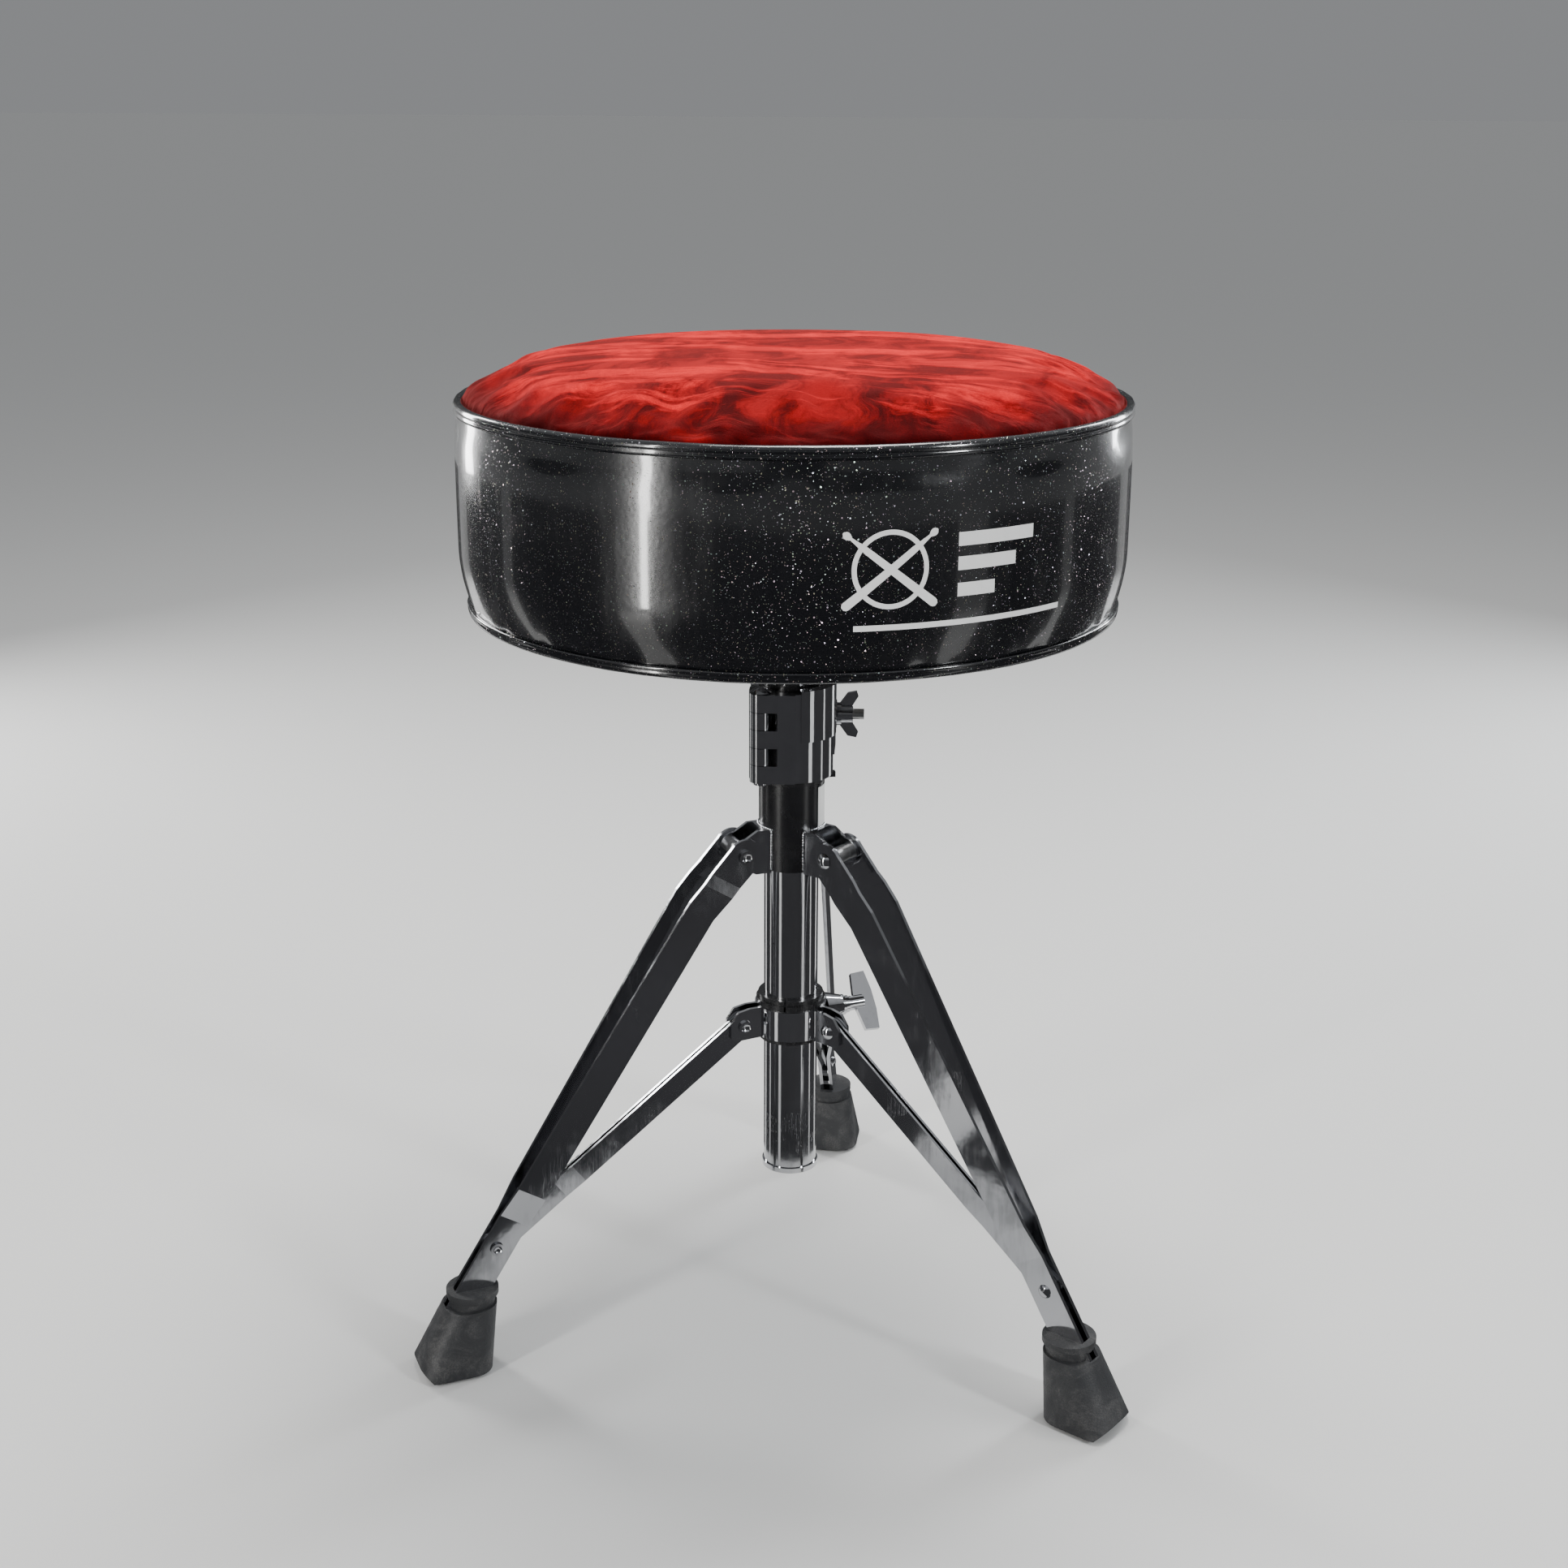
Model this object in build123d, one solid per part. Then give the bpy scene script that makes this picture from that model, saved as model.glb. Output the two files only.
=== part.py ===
from build123d import *
from math import cos, hypot, radians, sin, sqrt
import os

# Drum throne: round padded seat on a telescoping post in a folding tripod with paired legs and braces.
# Millimetres, +Z up, floor at z = 0. The column stands behind the origin by COLUMN_Y, so that the origin
# is the centre of the whole outline on the floor: the rear foot reaches further out than the seat.
# Every sub-part is built about the column's axis, and save() moves it to its place.
COLUMN_Y = -24.43

# Seat
SEAT_R = 178.8
SEAT_EDGE_R = 173.2
SEAT_BOTTOM_Z = 433.5
SEAT_TOP_Z = 541.0
CROWN = 25.0
CROWN_EDGE_R = 175.4
CROWN_STATIONS = 12
SKIN = 1.4
PIPING_R = 2.6
BOARD_R = 170.5
BOARD_Z = 440.0
BOARD_THICK = 12.0
COVER_THICK = 0.8
STAPLE_COUNT = 24
SOCKET_HALF = 45.0
SOCKET_THICK = 4.2
SOCKET_SPREAD = 34.0
SOCKET_LOW_Z = 393.5
PAD_LOW_Z = 429.8
KEY_BOLT_Z = 412.0
SCREW_R = 3.0

# Column
POST_R = 11.0
POST_WALL = 1.8
POST_LOW_Z = 99.0
TUBE_R = 15.45
TUBE_WALL = 1.6
TUBE_LOW_Z = 91.0
TUBE_TOP_Z = 384.0
SLEEVE_R = 18.45
SLEEVE_LOW_Z = 279.5
SLEEVE_TOP_Z = 330.0
BUSH_TOP_Z = 387.0
LABEL_LOW_Z = 304.6
LABEL_TOP_Z = 327.6

# Height clamp, turned about the column by CLAMP_TURN
CLAMP_TURN = 5.0
CLAMP_R = 23.0
CLAMP_BORE_R = 18.6
CLAMP_LOW_Z = 333.5
CLAMP_TOP_Z = 384.0
HINGE_X = -16.4
HINGE_Y = -18.6
KNUCKLE_R = 6.0
KNUCKLE_COUNT = 5
HINGE_PIN_R = 2.5
CLAMP_OPEN_DEG = 2.5
BOLT_Y = 26.5
BOLT_Z = 360.0
BOLT_R = 3.0
EAR_OUT_X = 22.5

# Legs: each is drawn in the plane of radius and height, with its pivot pin across it
LEG_AZIMUTH = {"rear": 90.0, "front_left": 210.0, "front_right": 330.0}
LEG_PIVOT_R = 32.0
LEG_PIVOT_Z = 290.5
LEG_SLOPE = 57.5
BAR_THICK = 2.2
BAR_NEAR_N = -2.0
BAR_FAR_N = 16.0
BAR_END_S = 311.0
HEAD_R = 10.0
HEAD_HALF_T = 12.0
SHOULDER_HALF_T = 13.0
WAIST_HALF_T = 7.4
TOE_HALF_T = 4.2
PIN_R = 3.0
RUN_GAP = 0.05
SIDE_GAP = 0.3

# Braces and their sliding collar
BRACE_LOW_S = 263.8
BRACE_LOW_N = 7.5
BRACE_HALF_W = 6.5
BRACE_THICK = 1.6
BRACE_HALF_T = 2.6
COLLAR_PIVOT_R = 30.0
COLLAR_PIVOT_Z = 184.2
COLLAR_LOW_Z = 177.0
COLLAR_TOP_Z = 195.0
COLLAR_R = 18.7
COLLAR_THICK = 2.0
EAR_HALF_T = 4.9
WING_AZIMUTH = 30.0
WING_Z = 186.5
COLLAR_BUSH_LOW_Z = 174.0
COLLAR_BUSH_TOP_Z = 201.0

# Feet
FOOT_TOP_R = 193.5
FOOT_TOP_Z = 49.0
FOOT_TOP_RADIUS = 14.8
FOOT_SOLE_R = 208.5
FOOT_SOLE_Z = 2.0
FOOT_LONG = 44.0
FOOT_WIDE = 38.0
NUB_R = 2.2


def save(shape, name):
    placed = Pos(0, COLUMN_Y, 0) * shape
    export_step(placed, f"parts/{name}.step")


def ring(outer, inner, low, high):
    height = high - low
    middle = (low + high) / 2
    return Pos(0, 0, middle) * (Cylinder(outer, height) - Cylinder(inner, height + 2))


def disc(radius, low, high):
    return Pos(0, 0, (low + high) / 2) * Cylinder(radius, high - low)


def block(x0, x1, y0, y1, z0, z1):
    centre = Pos((x0 + x1) / 2, (y0 + y1) / 2, (z0 + z1) / 2)
    return centre * Box(x1 - x0, y1 - y0, z1 - z0)


def across(radius, y0, y1, x=0.0, z=0.0):
    # A round bar along Y from y0 to y1
    return Pos(x, (y0 + y1) / 2, z) * Rot(90, 0, 0) * Cylinder(radius, y1 - y0)


def along(radius, x0, x1, y=0.0, z=0.0):
    # A round bar along X from x0 to x1
    return Pos((x0 + x1) / 2, y, z) * Rot(0, 90, 0) * Cylinder(radius, x1 - x0)


def lathe(points):
    # Turns a closed outline of (radius, height) points about the column
    wire = Polyline(*[(r, 0, z) for r, z in points], close=True)
    return revolve(make_face(wire), Axis.Z, 360)


def plate(points, y0, y1):
    # A flat plate in the XZ plane, between y0 and y1
    wire = Polyline(*[(x, 0, z) for x, z in points], close=True)
    return Pos(0, y1, 0) * extrude(make_face(wire), y1 - y0, dir=(0, -1, 0))


def turned(shape, degrees):
    return Rot(0, 0, degrees) * shape


def crown_outline(inset, low):
    # Outline of the crowned cushion: nearly flat over the top, a full shoulder, straight down to low
    edge = CROWN_EDGE_R - inset
    over = []
    for k in range(CROWN_STATIONS + 1):
        turn = radians(90) * (k / CROWN_STATIONS) ** 2
        over.append((edge * sqrt(sin(turn)), 0, SEAT_TOP_Z - inset + CROWN * cos(turn)))
    top = Spline(*over, tangents=[(1, 0, 0), (0, 0, -1)])
    side = Line(over[-1], (edge, 0, low))
    base = Line((edge, 0, low), (0, 0, low))
    axis = Line((0, 0, low), over[0])
    return make_face([top, side, base, axis])


def side_outline(inset):
    # Upright side, straight for most of its height and tucked in towards the bottom seam
    top_r = SEAT_R - 1.6 - inset
    full = SEAT_R - inset
    low_r = SEAT_EDGE_R - inset
    low_z = SEAT_BOTTOM_Z + PIPING_R
    high_z = SEAT_TOP_Z - PIPING_R
    upper = ThreePointArc((top_r, 0, high_z), (full - 0.2, 0, high_z - 12), (full, 0, high_z - 26))
    straight = Line((full, 0, high_z - 26), (full, 0, low_z + 30))
    lower = ThreePointArc((full, 0, low_z + 30), (full - 1.3, 0, low_z + 14), (low_r, 0, low_z))
    base = Line((low_r, 0, low_z), (0, 0, low_z))
    axis = Line((0, 0, low_z), (0, 0, high_z))
    cap = Line((0, 0, high_z), (top_r, 0, high_z))
    return make_face([upper, straight, lower, base, axis, cap])


def torus_ring(radius, height):
    return Pos(0, 0, height) * Torus(radius, PIPING_R)


def make_seat():
    outer_side = revolve(side_outline(0), Axis.Z, 360)
    inner_side = revolve(side_outline(SKIN), Axis.Z, 360)
    low = SEAT_BOTTOM_Z + PIPING_R
    open_ends = disc(SEAT_EDGE_R - SKIN, low - 1, low + 30) + disc(SEAT_R - 1.6 - SKIN, 500, SEAT_TOP_Z)
    band = outer_side - inner_side - open_ends
    top_pipe = torus_ring(SEAT_R - 2.4, SEAT_TOP_Z)
    low_pipe = torus_ring(SEAT_EDGE_R - 0.4, SEAT_BOTTOM_Z)
    save(band - top_pipe - low_pipe, "side_band")
    save(top_pipe, "top_piping")
    save(low_pipe, "bottom_piping")

    crown = revolve(crown_outline(0, SEAT_TOP_Z - 0.5), Axis.Z, 360)
    crown_core = revolve(crown_outline(SKIN, SEAT_TOP_Z - 8), Axis.Z, 360)
    save(crown - crown_core - top_pipe - outer_side, "top_cover")

    foam = revolve(side_outline(SKIN + 0.2), Axis.Z, 360)
    foam -= disc(SEAT_R, SEAT_BOTTOM_Z, BOARD_Z + BOARD_THICK)
    foam += revolve(crown_outline(SKIN + 0.4, SEAT_TOP_Z - 9), Axis.Z, 360)
    for pocket in spread(disc(10, BOARD_Z, BOARD_Z + BOARD_THICK + 2.0), SOCKET_SPREAD):
        foam -= pocket
    save(foam, "foam_cushion")


def spread(shape, distance):
    # Four copies at the corners of a square about the column
    corners = [(x, y) for x in (-distance, distance) for y in (-distance, distance)]
    return [Pos(x, y, 0) * shape for x, y in corners]


def make_seat_base():
    board_top = BOARD_Z + BOARD_THICK
    bore = disc(SCREW_R + 1.1, BOARD_Z - 1, board_top + 1)
    board = disc(BOARD_R, BOARD_Z, board_top)
    for hole in spread(bore, SOCKET_SPREAD):
        board -= hole
    save(board, "seat_board")

    cover_low = SEAT_BOTTOM_Z + 1.0
    opening = SOCKET_HALF + 3.0
    cover = disc(SEAT_EDGE_R - 3.4, cover_low, cover_low + COVER_THICK)
    cover -= block(-opening, opening, -opening, opening, cover_low - 1, cover_low + 2)
    save(cover, "dust_cover")

    staple = Box(9, 1.2, 0.7)
    step = 360 / STAPLE_COUNT
    staples = []
    for k in range(STAPLE_COUNT):
        place = Pos(0, SEAT_EDGE_R - 12, cover_low - 0.35)
        staples.append(turned(place * staple, (k + 0.5) * step))
    save(Compound(staples), "dust_cover_staples")

    shank = disc(SCREW_R, PAD_LOW_Z, board_top - 0.5)
    head_low = PAD_LOW_Z - 4.2
    head = disc(5.6, head_low, PAD_LOW_Z)
    cross = block(-3.2, 3.2, -0.6, 0.6, head_low - 1, head_low + 1.6)
    cross += block(-0.6, 0.6, -3.2, 3.2, head_low - 1, head_low + 1.6)
    screw = shank + head - cross
    save(Compound(spread(screw, SOCKET_SPREAD)), "socket_screws")

    barrel = ring(SCREW_R + 1.0, SCREW_R, board_top - 9, board_top)
    flange = ring(9.5, SCREW_R, board_top, board_top + 1.6)
    save(Compound(spread(barrel + flange, SOCKET_SPREAD)), "seat_t_nuts")


def make_seat_socket():
    flange_low = BOARD_Z - SOCKET_THICK
    half = SOCKET_HALF
    flange = block(-half, half, -half, half, flange_low, BOARD_Z)
    flange = fillet(flange.edges().filter_by(Axis.Z), 8)
    corner_pads = Part()
    for place in spread(disc(9, PAD_LOW_Z, flange_low), SOCKET_SPREAD):
        corner_pads += place
    neck_outline = [(0, flange_low), (26, flange_low), (18, BOARD_Z - 14)]
    neck_outline += [(17, SOCKET_LOW_Z), (0, SOCKET_LOW_Z)]
    neck = lathe(neck_outline)
    ribs = block(-SOCKET_SPREAD, SOCKET_SPREAD, -2.5, 2.5, BOARD_Z - 12, flange_low)
    ribs += block(-2.5, 2.5, -SOCKET_SPREAD, SOCKET_SPREAD, BOARD_Z - 12, flange_low)
    boss = along(7.5, -27, -12, 0, KEY_BOLT_Z)
    body = flange + corner_pads + neck + ribs + boss
    body -= disc(POST_R + RUN_GAP, SOCKET_LOW_Z - 2, BOARD_Z - 6)
    body -= along(SCREW_R + 0.02, -40, 0, 0, KEY_BOLT_Z)
    for hole in spread(disc(SCREW_R + 0.3, BOARD_Z - 12, BOARD_Z + 1), SOCKET_SPREAD):
        body -= hole
    for cut in spread(disc(6.2, BOARD_Z - 16, PAD_LOW_Z), SOCKET_SPREAD):
        body -= cut
    save(body, "seat_socket")

    # Square-headed key bolt, tightened against the post
    thread = along(SCREW_R, -33, -POST_R - 0.15, 0, KEY_BOLT_Z)
    collar = along(6.0, -35, -33, 0, KEY_BOLT_Z)
    square = block(-43, -35, -2.9, 2.9, KEY_BOLT_Z - 2.9, KEY_BOLT_Z + 2.9)
    save(thread + collar + square, "socket_key_bolt")


def make_column():
    post = ring(POST_R, POST_R - POST_WALL, POST_LOW_Z, BOARD_Z - 7)
    save(post, "height_tube")
    inner = TUBE_R - TUBE_WALL
    save(ring(inner - RUN_GAP, POST_R, POST_LOW_Z + 2, POST_LOW_Z + 26), "height_tube_bush")

    tube = ring(TUBE_R, inner, TUBE_LOW_Z, TUBE_TOP_Z)
    for angle in (60, 240):
        tube -= turned(block(10, 20, -1.0, 1.0, 346, TUBE_TOP_Z + 1), angle)
    save(tube, "base_tube")
    rim = ring(TUBE_R + 0.9, TUBE_R, TUBE_LOW_Z, TUBE_LOW_Z + 3.0)
    save(rim, "tube_end_ring")

    save(ring(SLEEVE_R, TUBE_R, SLEEVE_LOW_Z, SLEEVE_TOP_Z), "hub_sleeve")

    liner = ring(inner, POST_R + RUN_GAP, 344, BUSH_TOP_Z)
    liner += ring(TUBE_R, POST_R + RUN_GAP, TUBE_TOP_Z, BUSH_TOP_Z)
    liner -= turned(block(8, 20, -0.8, 0.8, 350, BUSH_TOP_Z + 1), 150)
    save(liner, "post_guide_bush")

    jacket = ring(SLEEVE_R - 0.05, TUBE_R, SLEEVE_TOP_Z, TUBE_TOP_Z)
    jacket += ring(SLEEVE_R + 0.5, SLEEVE_R - 1, SLEEVE_TOP_Z, SLEEVE_TOP_Z + 2.4)
    jacket -= turned(block(12, 24, -1.2, 1.2, SLEEVE_TOP_Z + 6, TUBE_TOP_Z + 1), CLAMP_TURN + 88)
    key = block(SLEEVE_R - 1, CLAMP_R + 1.5, -2, 2, SLEEVE_TOP_Z, SLEEVE_TOP_Z + 3)
    save(jacket + turned(key, CLAMP_TURN + 10), "clamp_jacket")

    label = ring(SLEEVE_R + 0.15, SLEEVE_R, LABEL_LOW_Z, LABEL_TOP_Z)
    wedge = Polyline((0, 0), (30, -7.5), (30, 7.5), close=True)
    label = label & extrude(make_face(wedge), 400)
    save(turned(label, CLAMP_TURN - 20), "sleeve_label")


def knuckle_z(index):
    return CLAMP_LOW_Z + index * (CLAMP_TOP_Z - CLAMP_LOW_Z) / KNUCKLE_COUNT


def sector(start, end, radius, low, high):
    # A wedge of a disc between two angles, wide enough to cut a ring
    steps = 8
    angles = [start + (end - start) * k / steps for k in range(steps + 1)]
    rim = [(radius * cos(radians(a)), radius * sin(radians(a))) for a in angles]
    wire = Polyline((0, 0), *rim, close=True)
    return Pos(0, 0, low) * extrude(make_face(wire), high - low)


def at_hinge(shape):
    return Pos(HINGE_X, HINGE_Y, 0) * shape


def make_clamp():
    shell = ring(CLAMP_R, CLAMP_BORE_R, CLAMP_LOW_Z, CLAMP_TOP_Z)
    low, high = CLAMP_LOW_Z, CLAMP_TOP_Z

    # Moving jaw: flat face beside the hinge, round the front and right, to a deep boss for the bolt
    moving = shell & sector(-131.4, 86, 60, low, high)
    moving += block(HINGE_X, 3, -CLAMP_R - 1.6, -15, low, high) - disc(CLAMP_BORE_R, low - 1, high + 1)
    swell = ring(CLAMP_R + 1.6, CLAMP_BORE_R, 357, high + 2) & sector(-75, 8, 60, low, high + 2)
    flange = block(17, CLAMP_R + 0.9, -4, 17, 345, high + 2) - disc(CLAMP_BORE_R, low - 1, high + 3)
    boss = along(9.0, 1.0, EAR_OUT_X, BOLT_Y, BOLT_Z)
    web = block(1.0, 16, 17.5, BOLT_Y, BOLT_Z - 9, BOLT_Z + 9)
    moving += swell + flange + boss + web
    moving += at_hinge(disc(KNUCKLE_R, low, high))
    moving -= disc(CLAMP_BORE_R, low - 1, high + 3)
    # The bore is relieved where opening the jaw carries it towards the column
    swing = radians(CLAMP_OPEN_DEG + 0.6)
    moving -= Pos(HINGE_Y * swing, -HINGE_X * swing, 0) * disc(CLAMP_BORE_R, low - 1, high + 3)
    for index in (1, 3):
        gap = block(HINGE_X - 9, -6.8, HINGE_Y - 9, HINGE_Y + 9, knuckle_z(index), knuckle_z(index + 1))
        moving -= gap
    moving -= block(-14, 1.0, 12, 40, low - 1, high + 3)
    moving -= along(BOLT_R + 2.0, 0, EAR_OUT_X + 5, BOLT_Y, BOLT_Z)
    moving -= at_hinge(disc(HINGE_PIN_R + RUN_GAP, low - 1, high + 1))
    behind = block(-40, HINGE_X + 2, HINGE_Y + 1.5, 5, low - 1, high + 3)
    moving -= behind - at_hinge(disc(KNUCKLE_R, low, high))
    save_clamp(moving, "clamp_moving_jaw")

    # Fixed jaw: round the left and back, with the knuckles between the moving jaw's
    fixed = shell & sector(98, 216, 60, low, high)
    fixed += block(-CLAMP_R, -10, -14, -6, low, high) - disc(CLAMP_BORE_R, low - 1, high + 1)
    arms = Part()
    for index in (1, 3):
        z0 = knuckle_z(index) + SIDE_GAP
        z1 = knuckle_z(index + 1) - SIDE_GAP
        arms += at_hinge(disc(KNUCKLE_R, z0, z1))
        arms += block(HINGE_X - KNUCKLE_R, HINGE_X + 3, HINGE_Y, -8, z0, z1)
    others = Part()
    for index in (0, 2, 4):
        z0 = knuckle_z(index) - SIDE_GAP
        z1 = knuckle_z(index + 1) + SIDE_GAP
        others += at_hinge(disc(KNUCKLE_R + 0.5, z0, z1))
    ear = along(9.0, -8.0, -1.2, BOLT_Y, BOLT_Z)
    ear += block(-8.0, -1.2, 17.5, BOLT_Y, BOLT_Z - 9, BOLT_Z + 9)
    fixed = fixed - others + arms + ear
    fixed -= disc(CLAMP_BORE_R, low - 1, high + 1)
    fixed -= along(BOLT_R, -20, 0, BOLT_Y, BOLT_Z)
    fixed -= at_hinge(disc(HINGE_PIN_R, low - 1, high + 1))
    fixed -= along(7.4, -20, -8, BOLT_Y, BOLT_Z)
    save_clamp(fixed, "clamp_fixed_jaw")

    cap_z = high + SIDE_GAP
    pin = disc(HINGE_PIN_R, low - SIDE_GAP, cap_z + 0.5)
    cap = Pos(0, 0, cap_z - 5.2) * Sphere(7.9) & disc(9, cap_z, cap_z + 9)
    foot = disc(4.0, low - 1.8, low - SIDE_GAP)
    save_clamp(at_hinge(pin + cap + foot), "clamp_hinge_pin")

    bolt = along(BOLT_R, -8.0, EAR_OUT_X + 17, BOLT_Y, BOLT_Z)
    head = along(7.0, -11.5, -8.0, BOLT_Y, BOLT_Z)
    save_clamp(bolt + head, "clamp_bolt")

    washer = along(8.0, EAR_OUT_X, EAR_OUT_X + 1.6, BOLT_Y, BOLT_Z)
    washer -= along(BOLT_R + RUN_GAP, EAR_OUT_X - 1, EAR_OUT_X + 3, BOLT_Y, BOLT_Z)
    save_clamp(washer, "clamp_washer")
    save_clamp(make_wing_nut(), "clamp_wing_nut")


def make_wing_nut():
    base = EAR_OUT_X + 1.7
    hub = along(6.5, base, base + 2.5, BOLT_Y, BOLT_Z)
    hub += along(5.4, base + 2.5, base + 9, BOLT_Y, BOLT_Z)
    outline = [(base + 1, 0), (base + 1, 5.5), (base + 6, 12.5), (base + 11, 13.5)]
    outline += [(base + 12, 10.5), (base + 8, 4), (base + 8, 0)]
    upper = plate([(x, BOLT_Z + z) for x, z in outline], BOLT_Y - 1.3, BOLT_Y + 1.3)
    lower = plate([(x, BOLT_Z - z) for x, z in outline], BOLT_Y - 1.3, BOLT_Y + 1.3)
    return hub + upper + lower - along(BOLT_R + RUN_GAP, base - 1, base + 20, BOLT_Y, BOLT_Z)


def save_clamp(shape, name):
    save(turned(shape, CLAMP_TURN), name)


def leg_local(shape):
    # From the leg's own frame (X down the leg from its pivot, Z outwards) to radius and height
    return Pos(LEG_PIVOT_R, 0, LEG_PIVOT_Z) * Rot(0, LEG_SLOPE, 0) * shape


def leg_point(s, n):
    slope = radians(LEG_SLOPE)
    radius = LEG_PIVOT_R + s * cos(slope) + n * sin(slope)
    height = LEG_PIVOT_Z - s * sin(slope) + n * cos(slope)
    return radius, height


def bar_half_spacing():
    # Outer face of a bar, as (distance down the leg, distance from the leg's middle plane)
    return [
        (-16, HEAD_HALF_T),
        (17, HEAD_HALF_T),
        (24, SHOULDER_HALF_T),
        (226, WAIST_HALF_T),
        (245, TOE_HALF_T),
        (BAR_END_S + 2, TOE_HALF_T),
    ]


def make_bar():
    outer = bar_half_spacing()
    inner = [(s, t - BAR_THICK) for s, t in reversed(outer)]
    strip = extrude(make_face(Polyline(*(outer + inner), close=True)), 30, both=True)
    low, high = BAR_NEAR_N, BAR_FAR_N
    edge = [(0, HEAD_R), (36.7, high), (BAR_END_S - 4, high), (BAR_END_S, high - 5)]
    edge += [(BAR_END_S, low + 5), (BAR_END_S - 4, low), (40, low), (0, -HEAD_R)]
    outline = plate(edge, 0, 20) + across(HEAD_R, 0, 20)
    bar = outline & strip
    bar -= across(PIN_R + RUN_GAP, -1, 25)
    bar -= across(2.6, -1, 25, BRACE_LOW_S, BRACE_LOW_N)
    return bar


def dome(radius, height, y, x, z, outward):
    # A rivet's rounded head, standing outward along Y from the face at y
    ball = (radius * radius + height * height) / (2 * height)
    centre = y + outward * (height - ball)
    cap = Pos(x, centre, z) * Sphere(ball)
    low, high = sorted((y, y + outward * (height + 1)))
    return cap & block(x - radius - 1, x + radius + 1, low, high, z - radius - 1, z + radius + 1)


def rivet(half, shank_r, head_r, x, z):
    shank = across(shank_r, -half, half, x, z)
    head = dome(head_r, 2.2, -half, x, z, -1)
    tail = across(head_r * 0.95, half, half + 1.5, x, z)
    tail -= dome(head_r * 0.62, 1.2, half + 1.5, x, z, -1)
    return shank + head + tail


def make_bracket():
    # Bent steel channel welded to the sleeve: its back follows the sleeve and its two ears hold the pin
    ear_half = HEAD_HALF_T - BAR_THICK - SIDE_GAP
    low, high = LEG_PIVOT_Z - 12.0, LEG_PIVOT_Z + 13.5
    nose = 8.5
    profile = [(12, low), (25, low), (LEG_PIVOT_R, LEG_PIVOT_Z - nose)]
    profile += [(LEG_PIVOT_R, LEG_PIVOT_Z + nose), (24, high), (12, high)]
    solid = plate(profile, -ear_half, ear_half)
    solid += across(nose, -ear_half, ear_half, LEG_PIVOT_R, LEG_PIVOT_Z)
    hollow = block(21.0, 60, -ear_half + 2.3, ear_half - 2.3, low - 5, high + 5)
    solid = solid - hollow - disc(SLEEVE_R, low - 5, high + 5)
    solid -= across(PIN_R, -20, 20, LEG_PIVOT_R, LEG_PIVOT_Z)
    return solid


def make_brace():
    # Pair of thin bars, apart at the collar and pinched together where they enter the leg
    low_r, low_z = leg_point(BRACE_LOW_S, BRACE_LOW_N)
    run = hypot(low_r - COLLAR_PIVOT_R, COLLAR_PIVOT_Z - low_z)
    toe = BRACE_THICK + 0.05
    outer = [(-9, BRACE_HALF_T), (run - 62, BRACE_HALF_T), (run - 48, toe), (run + 9, toe)]
    inner = [(s, t - BRACE_THICK) for s, t in reversed(outer)]
    strip = extrude(make_face(Polyline(*(outer + inner), close=True)), 30, both=True)
    flat = block(0, run, 0, 20, -BRACE_HALF_W, BRACE_HALF_W)
    bar = (flat + across(BRACE_HALF_W, 0, 20) + across(BRACE_HALF_W, 0, 20, run, 0)) & strip
    bar -= across(2.5 + RUN_GAP, -1, 25)
    bar -= across(2.7, -1, 25, run, 0)
    pair = Compound([bar, mirror(bar, about=Plane.XZ)])
    drop = Vector(low_r - COLLAR_PIVOT_R, COLLAR_PIVOT_Z - low_z, 0)
    angle = Vector(1, 0, 0).get_angle(drop)
    return Pos(COLLAR_PIVOT_R, 0, COLLAR_PIVOT_Z) * Rot(0, angle, 0) * pair


def make_brace_rivet():
    # One stub in each bar: the middle of the shank is left out, where the open pivot has its clearance
    low_r, low_z = leg_point(BRACE_LOW_S, BRACE_LOW_N)
    whole = rivet(TOE_HALF_T, 2.6, 4.0, low_r, low_z)
    inner = TOE_HALF_T - BAR_THICK
    return whole - block(low_r - 9, low_r + 9, -inner, inner, low_z - 9, low_z + 9)


def foot_face(radius, height, long, wide, corner):
    plane = Plane(origin=(radius, 0, height))
    return plane * RectangleRounded(long, wide, corner)


def make_foot():
    waist_z = FOOT_TOP_Z - 9.0
    rise = FOOT_TOP_Z - FOOT_SOLE_Z
    waist_r = FOOT_TOP_R + (FOOT_SOLE_R - FOOT_TOP_R) * 9.0 / rise
    top = foot_face(waist_r, waist_z, 31.0, 30.0, 14.0)
    sole = foot_face(FOOT_SOLE_R, FOOT_SOLE_Z, FOOT_LONG, FOOT_WIDE, 12.0)
    body = loft([sole, top])
    lip_r = FOOT_TOP_R + 0.8
    lip = Pos(lip_r, 0, FOOT_TOP_Z - 1.8) * Cylinder(FOOT_TOP_RADIUS, 3.6)
    neck = Pos(lip_r + 0.8, 0, FOOT_TOP_Z - 6.3) * Cylinder(FOOT_TOP_RADIUS - 1.5, 5.6)
    body += neck + lip
    # The outer edge of the sole is bevelled, where the foot rocks as the legs spread
    bevel_r = FOOT_SOLE_R + FOOT_LONG / 2
    body -= plate([(bevel_r - 10, 0), (bevel_r + 8, 18), (bevel_r + 8, 0)], -30, 30)
    body -= foot_socket()
    # Round nubs under the sole
    for k in range(4):
        for t in (-12.0, 0.0, 12.0):
            radius = FOOT_SOLE_R - 15.0 + 8.5 * k
            body += Pos(radius, t, FOOT_SOLE_Z / 2) * Cylinder(NUB_R, FOOT_SOLE_Z)
    return body


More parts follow.
